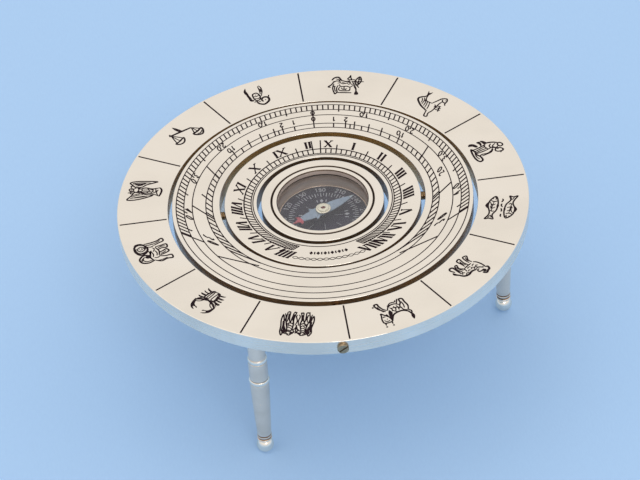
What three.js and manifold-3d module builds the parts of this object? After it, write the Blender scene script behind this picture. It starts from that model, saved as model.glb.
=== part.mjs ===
// Gimballed zodiac sundial compass: a flat ring on three turned legs, with three nested members in it.
// Millimetres, +Z up. The origin is on the floor, under the centre of the rings, and -Y is the front.
// The rings lie flat at rest, with their top faces level. Their pivots run along Y, X and Y in turn.

import * as THREE from 'three';
import { mergeVertices } from 'three/addons/utils/BufferGeometryUtils.js';
import Module from 'manifold-3d';

const wasm = await Module();
wasm.setup();

// ---------------------------------------------------------------- driving dimensions

const TOP_Z = 89; // floor to the top faces
const RING_THICKNESS = 8;
const PIVOT_Z = TOP_Z - RING_THICKNESS / 2; // all three pivot axes cross here
const HALF = RING_THICKNESS / 2;
const RING_CHAMFER = 0.4;

const ZODIAC_RING = { outer: 101.6, inner: 76.5, sides: 72 };
const SCALE_RING = { outer: 74.4, inner: 50.8, sides: 72 };
const HOUR_RING = { outer: 48.5, inner: 32.5, sides: 60 };
const SET_BACK = 1.1; // how far the scale ring's centre is behind the cross pivots that it carries

// Legs: heights above the floor, radii from the leg's own axis.
const LEG_ANGLES = { leg_right: 2, leg_back: 122, leg_front: -117 };
const LEG_CIRCLE_RADIUS = 88.9;
const LEG_SIDES = 16;
const FOOT = { ballRadius: 4.2, flatRadius: 1.5 };
const ANKLE = { neckRadius: 2.7, collarRadius: 3.5, collarLow: 8.2, collarHigh: 9.2 };
const SHAFT = { low: 9.8, high: 46.9, lowRadius: 3.4, highRadius: 4.75, swell: 0.1 };
const LOWER_BEAD = { low: 47.2, high: 49.6, radius: 5.1, grooveRadius: 4.3 };
const MIDDLE = { low: 50, high: 60.7, radius: 4.65 };
const UPPER_BEAD = { low: 61, high: 63.4, radius: 4.8, grooveRadius: 4.2 };
const LEG_TOP_RADIUS = 4.2;
const STUD = { radius: 2.4, length: 5.6, holeRadius: 2.8, holeDepth: 6.2 };
const SEAT_GAP = 0.05; // between faces that rest on each other

// Pivots: plain shanks, in bores cut in the rings.
const PIVOT = { shankRadius: 1.5, boreRadius: 1.75, sides: 12, slotWidth: 0.7, slotDepth: 0.8 };
const HEAD = { radius: 2.75, thickness: 1.5, edge: 0.4, sides: 20, slotTilt: 35 };
const COLLAR = { outer: 2.1, inner: 1.68, endGap: 0.15 };
const TIP_GAP = 0.35; // from a pivot's tip to the end of its bore
const PIVOT_DEPTH = 6.2; // how far a bore reaches into the ring that turns on it
const BOWL_PIVOT_DEPTH = 3.5;
const GRUB_RECESS = 0.5;

// Compass: heights below the top face.
const BOWL = { outer: 30.3, potRadius: 25.4, bore: 22.8, depth: 13.8, floor: 1.8, sides: 60, edge: 1.2 };
const BEZEL = { outer: 25.1, inner: 22.35, height: 2.7, seatRadius: 25.4 };
const GLASS = { radius: 24.9, thickness: 1.1 };
const GASKET = { outer: 24.9, inner: 23.2, thickness: 0.4 };
const LEDGE_DEPTH = 4.4; // the ledge that the gasket and the glass lie on
const CARD = { radius: 22.5, thickness: 0.6, hole: 0.9 };
const CARD_RING = { outer: 22.5, inner: 21.9, height: 0.8 };
const FACE_GAP = 0.06; // between stacked compass pieces

// Needle, on a pointed pin.
const PIN = {
  radius: 0.6, tipRadius: 0.08, tipDepth: 6.9, pointLength: 1.4, boreRadius: 0.8, boreDepth: 1.1,
};
const NEEDLE = { halfLength: 18, halfWidth: 3.3, thickness: 0.4, depth: 7.2, hole: 1.8, angle: 28 };
const CAP = { radius: 3.8, bossRadius: 1.5, stepRadius: 2.9, height: 0.8, stepHeight: 0.7, sides: 20 };
const JEWEL = { radius: 0.9, height: 0.7, dimpleRadius: 0.45, dimpleDepth: 0.35, seatGap: 0.12 };

// ---------------------------------------------------------------- materials

const finish = (color, roughness, metalness, opacity = 1) => new THREE.MeshStandardMaterial({
  color, roughness, metalness, opacity, transparent: opacity < 1,
});

const polishedBrass = finish(0xe6d3a8, 0.12, 1);
const turnedBrass = finish(0xd9cbb0, 0.2, 1);
const screwBrass = finish(0xb9a06a, 0.35, 1);
const clearGlass = finish(0xdfe8ea, 0.03, 0, 0.25);
const blackCard = finish(0x1d1c24, 0.5, 0);
const rubber = finish(0x2a2624, 0.8, 0);
const paintedSteel = finish(0x9db7cc, 0.35, 0.3);
const darkJewel = finish(0x6b3328, 0.15, 0);

// ---------------------------------------------------------------- shapes

const degrees = THREE.MathUtils.degToRad;

// A turned piece: profile is a list of [radius, height], going up its outside.
// It closes on itself, or starts and ends on the axis.
function turned(profile, sides) {
  const points = profile.map(([radius, height]) => new THREE.Vector2(radius, height));
  const geometry = new THREE.LatheGeometry(points, sides);
  geometry.rotateX(Math.PI / 2);
  return geometry;
}

// A ring's closed profile: its rectangle, with small chamfers on the outer corners.
function ringProfile(outer, inner, low, high, chamfer = 0) {
  const outside = chamfer > 0
    ? [[outer - chamfer, low], [outer, low + chamfer], [outer, high - chamfer], [outer - chamfer, high]]
    : [[outer, low], [outer, high]];
  return [[inner, low], ...outside, [inner, high], [inner, low]];
}

function ring(outer, inner, low, high, sides, chamfer) {
  return turned(ringProfile(outer, inner, low, high, chamfer), sides);
}

function disc(radius, low, high, sides) {
  return turned([[0, low], [radius, low], [radius, high], [0, high]], sides);
}

// A round bar along X from one distance to another, turned about Z to the given angle and set at a height.
function radialBar(radius, from, to, angle, height = 0) {
  const geometry = disc(radius, from, to, PIVOT.sides);
  geometry.rotateY(Math.PI / 2);
  geometry.rotateZ(degrees(angle));
  geometry.translate(0, 0, height);
  return geometry;
}

function toSolid(geometry) {
  const bare = geometry.clone();
  bare.deleteAttribute('normal');
  bare.deleteAttribute('uv');
  const merged = mergeVertices(bare, 1e-4);
  const index = merged.index.array;
  const kept = [];
  for (let i = 0; i < index.length; i += 3) {
    const [a, b, c] = [index[i], index[i + 1], index[i + 2]];
    if (a !== b && b !== c && c !== a) kept.push(a, b, c);
  }
  const mesh = new wasm.Mesh({
    numProp: 3,
    vertProperties: new Float32Array(merged.attributes.position.array),
    triVerts: new Uint32Array(kept),
  });
  return new wasm.Manifold(mesh);
}

function toGeometry(solid) {
  const mesh = solid.getMesh();
  const geometry = new THREE.BufferGeometry();
  geometry.setAttribute('position', new THREE.BufferAttribute(mesh.vertProperties, 3));
  geometry.setIndex(new THREE.BufferAttribute(mesh.triVerts, 1));
  geometry.computeVertexNormals();
  return geometry;
}

function cut(geometry, tools) {
  let solid = toSolid(geometry);
  for (const tool of tools) solid = solid.subtract(toSolid(tool));
  return toGeometry(solid);
}

// ---------------------------------------------------------------- rings

// A gimbal ring, with through bores for the pivots that it carries
// and blind bores for those that it turns on. The ring and its blind bores lie setBack
// behind the centre, and its through bores don't.
function gimbalRing(size, throughAngles, blindAngles, { extraCuts = [], setBack = 0 } = {}) {
  const body = ring(size.outer, size.inner, -HALF, HALF, size.sides, RING_CHAMFER);
  body.translate(0, setBack, 0);
  const through = throughAngles.map((angle) => radialBar(
    PIVOT.boreRadius, size.inner - 2, size.outer + 2, angle,
  ));
  const blind = blindAngles.map((angle) => {
    const bore = radialBar(PIVOT.boreRadius, size.outer - PIVOT_DEPTH, size.outer + 2, angle);
    bore.translate(0, setBack, 0);
    return bore;
  });
  return cut(body, [...through, ...blind, ...extraCuts]);
}

function studHoles() {
  return Object.values(LEG_ANGLES).map((angle) => {
    const hole = disc(STUD.holeRadius, -HALF - 1, -HALF + STUD.holeDepth, PIVOT.sides);
    hole.translate(LEG_CIRCLE_RADIUS, 0, 0);
    hole.rotateZ(degrees(angle));
    return hole;
  });
}

// ---------------------------------------------------------------- legs

// Points on an arc about [centreRadius, centreHeight], angles in degrees from the radial direction.
function arc(centreRadius, centreHeight, radius, from, to, steps) {
  return Array.from({ length: steps + 1 }, (_, i) => {
    const angle = degrees(from + (to - from) * i / steps);
    return [centreRadius + radius * Math.cos(angle), centreHeight + radius * Math.sin(angle)];
  });
}

// A half-round bead between two grooves.
function bead({ low, high, radius, grooveRadius }) {
  const middle = (low + high) / 2;
  const rise = (high - low) / 2;
  return [-90, -45, 0, 45, 90].map((angle) => [
    grooveRadius + (radius - grooveRadius) * Math.cos(degrees(angle)),
    middle + rise * Math.sin(degrees(angle)),
  ]);
}

// The long taper swells a little in the middle.
function taper({ low, high, lowRadius, highRadius, swell }) {
  return [0, 0.25, 0.5, 0.75, 1].map((share) => [
    lowRadius + (highRadius - lowRadius) * share + swell * Math.sin(Math.PI * share),
    low + (high - low) * share,
  ]);
}

function legProfile() {
  const { ballRadius, flatRadius } = FOOT;
  const ballHeight = Math.sqrt(ballRadius ** 2 - flatRadius ** 2);
  const flatAngle = THREE.MathUtils.radToDeg(Math.asin(ballHeight / ballRadius));
  const neckAngle = THREE.MathUtils.radToDeg(Math.acos(ANKLE.neckRadius / ballRadius));
  const shoulder = TOP_Z - RING_THICKNESS - SEAT_GAP;
  return [
    [0, 0],
    ...arc(0, ballHeight, ballRadius, -flatAngle, neckAngle, 6),
    [ANKLE.neckRadius, ANKLE.collarLow - 0.3],
    [ANKLE.collarRadius, ANKLE.collarLow],
    [ANKLE.collarRadius, ANKLE.collarHigh],
    ...taper(SHAFT),
    ...bead(LOWER_BEAD),
    [MIDDLE.radius, MIDDLE.low],
    [MIDDLE.radius, MIDDLE.high],
    ...bead(UPPER_BEAD),
    [LEG_TOP_RADIUS, UPPER_BEAD.high + 0.3],
    [LEG_TOP_RADIUS, shoulder],
    [STUD.radius, shoulder],
    [STUD.radius, shoulder + STUD.length],
    [0, shoulder + STUD.length],
  ];
}

// ---------------------------------------------------------------- pivots

function slotCutter(outerEnd, tilt) {
  const cutter = new THREE.BoxGeometry(2 * PIVOT.slotDepth, 4 * HEAD.radius, PIVOT.slotWidth);
  cutter.rotateX(degrees(tilt));
  cutter.translate(outerEnd, 0, 0);
  return cutter;
}

// A pivot screw along +X, from its tip inside the inner member to its slotted outer end.
function pivotScrew(profile, outerEnd, sides, tilt) {
  const body = turned(profile, sides);
  body.rotateY(Math.PI / 2);
  return cut(body, [slotCutter(outerEnd, tilt)]);
}

function headedScrew(tip, seat, tilt) {
  const outerEnd = seat + HEAD.thickness;
  const profile = [
    [0, tip], [PIVOT.shankRadius, tip], [PIVOT.shankRadius, seat], [HEAD.radius, seat],
    [HEAD.radius, outerEnd - HEAD.edge], [HEAD.radius - HEAD.edge, outerEnd], [0, outerEnd],
  ];
  return pivotScrew(profile, outerEnd, HEAD.sides, tilt);
}

function headlessScrew(tip, outerEnd) {
  const profile = [[0, tip], [PIVOT.shankRadius, tip], [PIVOT.shankRadius, outerEnd], [0, outerEnd]];
  return pivotScrew(profile, outerEnd, PIVOT.sides, 0);
}

// A collar around a pivot, in the gap between an inner and an outer wall.
function collar(innerWall, outerWall) {
  const geometry = ring(
    COLLAR.outer, COLLAR.inner, innerWall + COLLAR.endGap, outerWall - COLLAR.endGap, PIVOT.sides,
  );
  geometry.rotateY(Math.PI / 2);
  return geometry;
}

// ---------------------------------------------------------------- compass, about the pivot centre

const topPlane = HALF;
const ledge = topPlane - LEDGE_DEPTH;
const bowlFloor = topPlane - BOWL.depth + BOWL.floor;
const cardTop = bowlFloor + FACE_GAP + CARD.thickness;
const needleLow = topPlane - NEEDLE.depth;
const needleHigh = needleLow + NEEDLE.thickness;

function compassBowl() {
  const bottom = topPlane - BOWL.depth;
  const profile = [
    [0, bottom],
    [BOWL.potRadius - BOWL.edge, bottom],
    [BOWL.potRadius, bottom + BOWL.edge],
    [BOWL.potRadius, -HALF],
    [BOWL.outer - RING_CHAMFER, -HALF],
    [BOWL.outer, -HALF + RING_CHAMFER],
    [BOWL.outer, topPlane - RING_CHAMFER],
    [BOWL.outer - RING_CHAMFER, topPlane],
    [BEZEL.seatRadius, topPlane],
    [BEZEL.seatRadius, ledge],
    [BOWL.bore, ledge],
    [BOWL.bore, bowlFloor],
    [0, bowlFloor],
  ];
  const pivotBores = [90, -90].map((angle) => radialBar(
    PIVOT.boreRadius, BOWL.outer - BOWL_PIVOT_DEPTH, BOWL.outer + 2, angle,
  ));
  const pinBore = disc(PIN.boreRadius, bowlFloor - PIN.boreDepth, bowlFloor + 1, PIVOT.sides);
  return cut(turned(profile, BOWL.sides), [...pivotBores, pinBore]);
}

function pivotPin() {
  const foot = bowlFloor - PIN.boreDepth + FACE_GAP;
  const tip = topPlane - PIN.tipDepth;
  return turned([
    [0, foot], [PIN.radius, foot], [PIN.radius, tip - PIN.pointLength], [PIN.tipRadius, tip], [0, tip],
  ], PIVOT.sides);
}

function needleBlade() {
  const shoulder = NEEDLE.halfWidth * 0.9;
  const outline = new THREE.Shape([
    [NEEDLE.halfLength, 0], [shoulder, NEEDLE.halfWidth], [-shoulder, NEEDLE.halfWidth],
    [-NEEDLE.halfLength, 0], [-shoulder, -NEEDLE.halfWidth], [shoulder, -NEEDLE.halfWidth],
  ].map(([x, y]) => new THREE.Vector2(x, y)));
  const hole = new THREE.Path();
  hole.absarc(0, 0, NEEDLE.hole, 0, 2 * Math.PI, true);
  outline.holes.push(hole);
  const geometry = new THREE.ExtrudeGeometry(outline, {
    depth: NEEDLE.thickness, bevelEnabled: false, curveSegments: PIVOT.sides,
  });
  geometry.translate(0, 0, needleLow);
  return geometry;
}

// The jewel hangs over the pin's point, in a socket in the cap's underside.
const jewelLow = topPlane - PIN.tipDepth - JEWEL.dimpleDepth + JEWEL.seatGap;
const jewelHigh = jewelLow + JEWEL.height;

function capProfile() {
  const seat = needleHigh + FACE_GAP;
  const socket = JEWEL.radius + FACE_GAP;
  return [
    [socket, needleLow],
    [CAP.bossRadius, needleLow],
    [CAP.bossRadius, seat],
    [CAP.radius, seat],
    [CAP.radius, seat + CAP.height],
    [CAP.stepRadius, seat + CAP.height],
    [CAP.stepRadius, seat + CAP.height + CAP.stepHeight],
    [0, seat + CAP.height + CAP.stepHeight],
    [0, jewelHigh + FACE_GAP],
    [socket, jewelHigh + FACE_GAP],
    [socket, needleLow],
  ];
}

function jewelProfile() {
  return [
    [0, jewelLow + JEWEL.dimpleDepth],
    [JEWEL.dimpleRadius, jewelLow],
    [JEWEL.radius, jewelLow],
    [JEWEL.radius, jewelHigh],
    [0, jewelHigh],
  ];
}

// ---------------------------------------------------------------- assembly

function add(group, name, geometry, material, angle = 0) {
  const mesh = new THREE.Mesh(geometry, material);
  mesh.name = name;
  mesh.rotation.z = degrees(angle);
  group.add(mesh);
  return mesh;
}

const sundial = new THREE.Group();
const gimbals = new THREE.Group();
gimbals.position.z = PIVOT_Z;
sundial.add(gimbals);

const zodiacRing = gimbalRing(ZODIAC_RING, [90, -90], [], { extraCuts: studHoles() });
add(gimbals, 'zodiac_ring', zodiacRing, polishedBrass);
for (const [name, angle] of Object.entries(LEG_ANGLES)) {
  const place = new THREE.Group();
  place.rotation.z = degrees(angle);
  sundial.add(place);
  const leg = add(place, name, turned(legProfile(), LEG_SIDES), turnedBrass);
  leg.position.x = LEG_CIRCLE_RADIUS;
}

const FRONT_BACK = { front: -90, back: 90 };
const LEFT_RIGHT = { left: 180, right: 0 };

for (const [side, angle] of Object.entries(FRONT_BACK)) {
  const wall = SCALE_RING.outer + (side === 'back' ? SET_BACK : -SET_BACK);
  const tip = wall - PIVOT_DEPTH + TIP_GAP;
  const screw = headedScrew(tip, ZODIAC_RING.outer + SEAT_GAP, HEAD.slotTilt);
  add(gimbals, `zodiac_pivot_screw_${side}`, screw, screwBrass, angle);
  add(gimbals, `zodiac_collar_${side}`, collar(wall, ZODIAC_RING.inner), screwBrass, angle);
}

const scaleRing = gimbalRing(SCALE_RING, [0, 180], [90, -90], { setBack: SET_BACK });
add(gimbals, 'scale_ring', scaleRing, polishedBrass);
for (const [side, angle] of Object.entries(LEFT_RIGHT)) {
  const tip = HOUR_RING.outer - PIVOT_DEPTH + TIP_GAP;
  const screw = headlessScrew(tip, SCALE_RING.outer - GRUB_RECESS);
  add(gimbals, `scale_pivot_screw_${side}`, screw, screwBrass, angle);
  add(gimbals, `scale_collar_${side}`, collar(HOUR_RING.outer, SCALE_RING.inner), screwBrass, angle);
}

add(gimbals, 'hour_ring', gimbalRing(HOUR_RING, [90, -90], [0, 180]), polishedBrass);
for (const [side, angle] of Object.entries(FRONT_BACK)) {
  const tip = BOWL.outer - BOWL_PIVOT_DEPTH + TIP_GAP;
  const screw = headlessScrew(tip, HOUR_RING.outer - GRUB_RECESS);
  add(gimbals, `hour_pivot_screw_${side}`, screw, screwBrass, angle);
  add(gimbals, `hour_collar_${side}`, collar(BOWL.outer, HOUR_RING.inner), screwBrass, angle);
}

const gasketLow = ledge + FACE_GAP;
const glassLow = gasketLow + GASKET.thickness + FACE_GAP;
const cardRingLow = cardTop + FACE_GAP;
const glassHigh = glassLow + GLASS.thickness;
const cardRing = ring(
  CARD_RING.outer, CARD_RING.inner, cardRingLow, cardRingLow + CARD_RING.height, BOWL.sides,
);

add(gimbals, 'compass_bowl', compassBowl(), polishedBrass);
add(gimbals, 'bezel_ring',
  ring(BEZEL.outer, BEZEL.inner, topPlane - BEZEL.height, topPlane, BOWL.sides), polishedBrass);
add(gimbals, 'glass_gasket',
  ring(GASKET.outer, GASKET.inner, gasketLow, gasketLow + GASKET.thickness, BOWL.sides), rubber);
add(gimbals, 'glass_window', disc(GLASS.radius, glassLow, glassHigh, BOWL.sides), clearGlass);
add(gimbals, 'dial_card',
  ring(CARD.radius, CARD.hole, bowlFloor + FACE_GAP, cardTop, BOWL.sides), blackCard);
add(gimbals, 'card_ring', cardRing, turnedBrass);
add(gimbals, 'pivot_pin', pivotPin(), paintedSteel);

add(gimbals, 'needle', needleBlade(), paintedSteel, NEEDLE.angle);
add(gimbals, 'needle_cap', turned(capProfile(), CAP.sides), turnedBrass);
add(gimbals, 'cap_jewel', turned(jewelProfile(), PIVOT.sides), darkJewel);

export default sundial;
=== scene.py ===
"""The looks of a gimballed zodiac sundial compass, built around its CAD frame.

Metres, +Z up, -Y is the front. Three polished brass members tumble inside a flat zodiac ring on three legs.
Angles on the rings are in degrees, clockwise from +Y, unless a name says otherwise.
"""
import math
import random

import bpy
from mathutils import Matrix, Vector


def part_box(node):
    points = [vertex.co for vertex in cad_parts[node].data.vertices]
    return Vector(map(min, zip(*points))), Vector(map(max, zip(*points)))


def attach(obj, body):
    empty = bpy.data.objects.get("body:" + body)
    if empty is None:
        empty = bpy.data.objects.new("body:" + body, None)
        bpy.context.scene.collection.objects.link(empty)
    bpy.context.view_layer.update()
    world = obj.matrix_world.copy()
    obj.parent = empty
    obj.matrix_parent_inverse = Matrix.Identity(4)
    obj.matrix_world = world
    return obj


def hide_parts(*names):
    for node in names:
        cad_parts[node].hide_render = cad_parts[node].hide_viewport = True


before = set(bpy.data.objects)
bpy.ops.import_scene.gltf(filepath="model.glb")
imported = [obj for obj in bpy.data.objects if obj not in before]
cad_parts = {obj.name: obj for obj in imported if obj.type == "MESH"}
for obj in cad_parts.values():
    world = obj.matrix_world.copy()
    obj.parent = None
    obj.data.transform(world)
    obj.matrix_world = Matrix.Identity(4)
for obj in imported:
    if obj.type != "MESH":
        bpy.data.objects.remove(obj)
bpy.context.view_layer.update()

MM = 0.001

# ---------------------------------------------------------------- dimensions

zodiac_low, zodiac_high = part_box("zodiac_ring")
TOP = zodiac_high.z
UNDER = zodiac_low.z
PIVOT_Z = (TOP + UNDER) / 2
HALF = (TOP - UNDER) / 2
ZODIAC_OUTER = zodiac_high.x
scale_low, scale_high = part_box("scale_ring")
SCALE_OUTER = scale_high.x
SET_BACK = (scale_low.y + scale_high.y) / 2  # how far the scale ring's centre is behind the pivots' crossing
HOUR_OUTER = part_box("hour_ring")[1].x
BOWL_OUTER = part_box("compass_bowl")[1].x

RING_GAP = 2.1 * MM
ZODIAC_INNER = SCALE_OUTER + RING_GAP
SCALE_INNER = HOUR_OUTER + 2.3 * MM
HOUR_INNER = BOWL_OUTER + 2.2 * MM
EDGE = 0.35 * MM  # the polished round on a ring's outer edges
INNER_EDGE = 0.25 * MM
FINE_EDGE = 0.1 * MM

BORE_RADIUS = 1.75 * MM
BORE_DEPTH = 6.2 * MM
BOWL_BORE_DEPTH = 3.5 * MM
STUD_HOLE_RADIUS = 2.8 * MM
STUD_HOLE_DEPTH = 6.2 * MM

ROUND = 240  # sides of a large turned piece
SMALL_ROUND = 64  # sides of a small one

FILL_PROUD = 0.02 * MM  # how far the black wax stands above the brass
FILL_DEPTH = 0.15 * MM
LAYERS = 7  # crossing strokes stand at slightly different heights, so that no two tops share a plane
LAYER_STEP = 0.0015 * MM

LYING = Matrix.Rotation(math.pi / 2, 4, "Y")  # lays a piece turned about Z along X

# ---------------------------------------------------------------- meshes


def new_object(name, vertices, faces, face_materials=None, materials=(), sharp=38):
    """A smooth-shaded mesh object, with edges sharper than the given angle kept crisp."""
    mesh = bpy.data.meshes.new(name)
    mesh.from_pydata([tuple(v) for v in vertices], [], faces)
    for material in materials:
        mesh.materials.append(material)
    if face_materials:
        mesh.polygons.foreach_set("material_index", face_materials)
    mesh.validate()
    obj = bpy.data.objects.new(name, mesh)
    bpy.context.scene.collection.objects.link(obj)
    soften(obj, sharp)
    return obj


def soften(obj, sharp=38):
    mesh = obj.data
    mesh.polygons.foreach_set("use_smooth", [True] * len(mesh.polygons))
    mesh.set_sharp_from_angle(angle=math.radians(sharp))
    if "flat faces" not in obj.modifiers:
        weighted = obj.modifiers.new("flat faces", "WEIGHTED_NORMAL")
        weighted.keep_sharp = True
    mesh.update()


def turned(name, profile, sides, materials, wall=None, matrix=None):
    """A turned piece about Z. The profile's (radius, height) points run up the outside, and close on
    themselves or end on the axis. wall(radius, height) gives the material number of the band there."""
    on_axis = profile[0][0] == 0 and profile[-1][0] == 0
    vertices, rows = [], []
    for radius, height in profile:
        if radius == 0:
            rows.append([len(vertices)] * sides)
            vertices.append(Vector((0, 0, height)))
            continue
        rows.append(list(range(len(vertices), len(vertices) + sides)))
        for i in range(sides):
            angle = 2 * math.pi * i / sides
            vertices.append(Vector((radius * math.cos(angle), radius * math.sin(angle), height)))
    bands = list(zip(range(len(rows)), range(1, len(rows))))
    if not on_axis:
        bands.append((len(rows) - 1, 0))
    faces, numbers = [], []
    for low, high in bands:
        middle = [(profile[low][k] + profile[high][k]) / 2 for k in (0, 1)]
        number = wall(*middle) if wall else 0
        for i in range(sides):
            j = (i + 1) % sides
            corners = [rows[low][i], rows[low][j], rows[high][j], rows[high][i]]
            face = [c for k, c in enumerate(corners) if c != corners[k - 1]]
            if len(face) > 2:
                faces.append(face)
                numbers.append(number)
    if matrix is not None:
        vertices = [matrix @ v for v in vertices]
    return new_object(name, vertices, faces, numbers, materials)


def rounded(points, radius, closed=True):
    """The outline with its corners turned into arcs. radius is one number, or one for each corner."""
    steps = 4
    count = len(points)
    radii = radius if isinstance(radius, (list, tuple)) else [radius] * count
    out = []
    for i, point in enumerate(points):
        here = Vector(point)
        if radii[i] == 0 or (not closed and i in (0, count - 1)):
            out.append(tuple(here))
            continue
        before = (Vector(points[i - 1]) - here).normalized()
        after = (Vector(points[(i + 1) % count]) - here).normalized()
        angle = before.angle(after)
        if angle > math.radians(176):
            out.append(tuple(here))
            continue
        reach = radii[i] / math.tan(angle / 2)
        centre = here + (before + after).normalized() * (radii[i] / math.sin(angle / 2))
        start = here + before * reach - centre
        sweep = start.angle_signed(here + after * reach - centre)
        for k in range(steps + 1):
            turn = sweep * k / steps
            cos, sin = math.cos(turn), math.sin(turn)
            out.append((
                centre.x + start.x * cos + start.y * sin,
                centre.y - start.x * sin + start.y * cos,
            ))
    return out


def arc(centre_radius, centre_height, radius, start, end, steps):
    """Profile points on an arc, with angles from the radial direction."""
    return [
        (
            centre_radius + radius * math.cos(math.radians(start + (end - start) * k / steps)),
            centre_height + radius * math.sin(math.radians(start + (end - start) * k / steps)),
        )
        for k in range(steps + 1)
    ]


def bar(radius, start, end):
    """A plain round bar along X, used only to cut with."""
    profile = [(0, start), (radius, start), (radius, end), (0, end)]
    return turned("cutter", profile, SMALL_ROUND, [], matrix=LYING)


def block(size, centre, tilt):
    """A plain block, used only to cut with."""
    corners = [
        Vector((sx * size[0], sy * size[1], sz * size[2])) / 2
        for sx in (-1, 1) for sy in (-1, 1) for sz in (-1, 1)
    ]
    turn = Matrix.Rotation(math.radians(tilt), 4, "X")
    faces = [(0, 1, 3, 2), (4, 6, 7, 5), (0, 4, 5, 1), (2, 3, 7, 6), (0, 2, 6, 4), (1, 5, 7, 3)]
    return new_object("cutter", [Vector(centre) + turn @ c for c in corners], faces)


def cut(obj, cutters):
    """Cuts the cutters out of obj and removes them."""
    for cutter in cutters:
        boolean = obj.modifiers.new("cut", "BOOLEAN")
        boolean.operation = "DIFFERENCE"
        boolean.solver = "EXACT"
        boolean.object = cutter
        obj.modifiers.move(len(obj.modifiers) - 1, 0)
        bpy.context.view_layer.update()
        evaluated = obj.evaluated_get(bpy.context.evaluated_depsgraph_get())
        mesh = bpy.data.meshes.new_from_object(evaluated)
        obj.modifiers.clear()
        obj.data = mesh
        bpy.data.objects.remove(cutter)
    soften(obj)


def about_pivots(angle, set_back=0.0):
    """The place of something made along +X at the height 0, turned about Z to a pivot's angle from +X."""
    return Matrix.Translation((0, set_back, PIVOT_Z)) @ Matrix.Rotation(math.radians(angle), 4, "Z")


def place(obj, matrix):
    obj.data.transform(matrix)
    obj.data.update()
    return obj


# ---------------------------------------------------------------- engraving


class Engraving:
    """Flat black strokes in a top face, gathered into one mesh."""

    def __init__(self, height):
        self.low = height - FILL_DEPTH
        self.high = height + FILL_PROUD
        self.vertices = []
        self.faces = []
        self.layer = 0

    def next_top(self):
        """The height of the next stroke's top."""
        top = self.high + (self.layer % LAYERS) * LAYER_STEP
        self.layer += 1
        return top

    def prism(self, left, right, closed):
        """A flat strip between two rows of points, with its sides and ends closed."""
        top = self.next_top()
        count = len(left)
        base = len(self.vertices)
        for x, y in list(left) + list(right):
            self.vertices.append((x, y, top))
            self.vertices.append((x, y, self.low))

        def corner(side, i, level):
            return base + 2 * (side * count + i % count) + level

        for i in range(count if closed else count - 1):
            l0, l1, r0, r1 = (corner(0, i, 0), corner(0, i + 1, 0), corner(1, i, 0), corner(1, i + 1, 0))
            self.faces.append((l0, r0, r1, l1))
            self.faces.append((l0 + 1, l1 + 1, r1 + 1, r0 + 1))
            self.faces.append((l0, l1, l1 + 1, l0 + 1))
            self.faces.append((r0, r0 + 1, r1 + 1, r1))
        if not closed:
            for i, flip in ((0, False), (count - 1, True)):
                ends = [corner(0, i, 0), corner(0, i, 1), corner(1, i, 1), corner(1, i, 0)]
                self.faces.append(tuple(reversed(ends)) if flip else tuple(ends))

    def stroke(self, points, width, closed=False, taper=1.0):
        """A stroke along a line. taper is the width of its ends as a share of its middle."""
        count = len(points)
        left, right = [], []
        for i, (x, y) in enumerate(points):
            before = points[i - 1] if closed or i else points[i]
            after = points[(i + 1) % count] if closed or i < count - 1 else points[i]
            first = Vector((x - before[0], y - before[1]))
            second = Vector((after[0] - x, after[1] - y))
            if first.length < 1e-9:
                first = second
            if second.length < 1e-9:
                second = first
            first.normalize()
            second.normalize()
            along = first + second
            if along.length < 0.3:
                along = first
            along.normalize()
            mitre = 1 / max(0.6, along.dot(first))
            bulge = max(0.0, math.sin(math.pi * i / max(1, count - 1))) ** 0.6
            share = 1.0 if closed else taper + (1 - taper) * bulge
            reach = width / 2 * share * mitre
            left.append((x - along.y * reach, y + along.x * reach))
            right.append((x + along.y * reach, y - along.x * reach))
        self.prism(left, right, closed)

    def blob(self, outline):
        """A filled outline."""
        area = sum(a[0] * b[1] - b[0] * a[1] for a, b in zip(outline, outline[1:] + outline[:1]))
        if area < 0:
            outline = outline[::-1]
        top = self.next_top()
        base = len(self.vertices)
        count = len(outline)
        for x, y in outline:
            self.vertices.append((x, y, top))
            self.vertices.append((x, y, self.low))
        self.faces.append(tuple(base + 2 * i for i in range(count)))
        self.faces.append(tuple(base + 2 * i + 1 for i in reversed(range(count))))
        for i in range(count):
            j = (i + 1) % count
            self.faces.append((base + 2 * i, base + 2 * i + 1, base + 2 * j + 1, base + 2 * j))

    def circle(self, radius, width, start=0, end=360):
        """A circle about the centre, or the part of it between two angles."""
        whole = end - start >= 360
        steps = max(8, int((end - start) / 1.5))
        count = steps if whole else steps + 1
        points = [polar(radius, start + (end - start) * k / steps) for k in range(count)]
        self.stroke(points, width, closed=whole)

    def piece(self, name, material, body):
        obj = new_object(name, self.vertices, self.faces, materials=[material], sharp=30)
        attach(obj, body)
        return obj


def polar(radius, angle):
    """The point at a radius and an angle clockwise from +Y."""
    return (radius * math.sin(math.radians(angle)), radius * math.cos(math.radians(angle)))


def diamond(art, radius, angle, length, width):
    """A small solid diamond, pointing at the centre."""
    lean = math.degrees(width / 2 / radius)
    art.blob([
        polar(radius + length / 2, angle), polar(radius, angle + lean), polar(radius - length / 2, angle),
        polar(radius, angle - lean),
    ])


def spline(points, steps, closed=False):
    """A smooth curve through the points (Catmull-Rom)."""
    count = len(points)
    out = []
    for i in range(count if closed else count - 1):
        p = [
            points[(i + k) % count] if closed else points[min(max(i + k, 0), count - 1)]
            for k in (-1, 0, 1, 2)
        ]
        for s in range(steps):
            t = s / steps
            out.append(tuple(
                0.5 * (2 * b + (c - a) * t + (2 * a - 5 * b + 4 * c - d) * t * t
                       + (3 * b - a - 3 * c + d) * t ** 3)
                for a, b, c, d in zip(*p)
            ))
    if not closed:
        out.append(points[-1])
    return out


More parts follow.
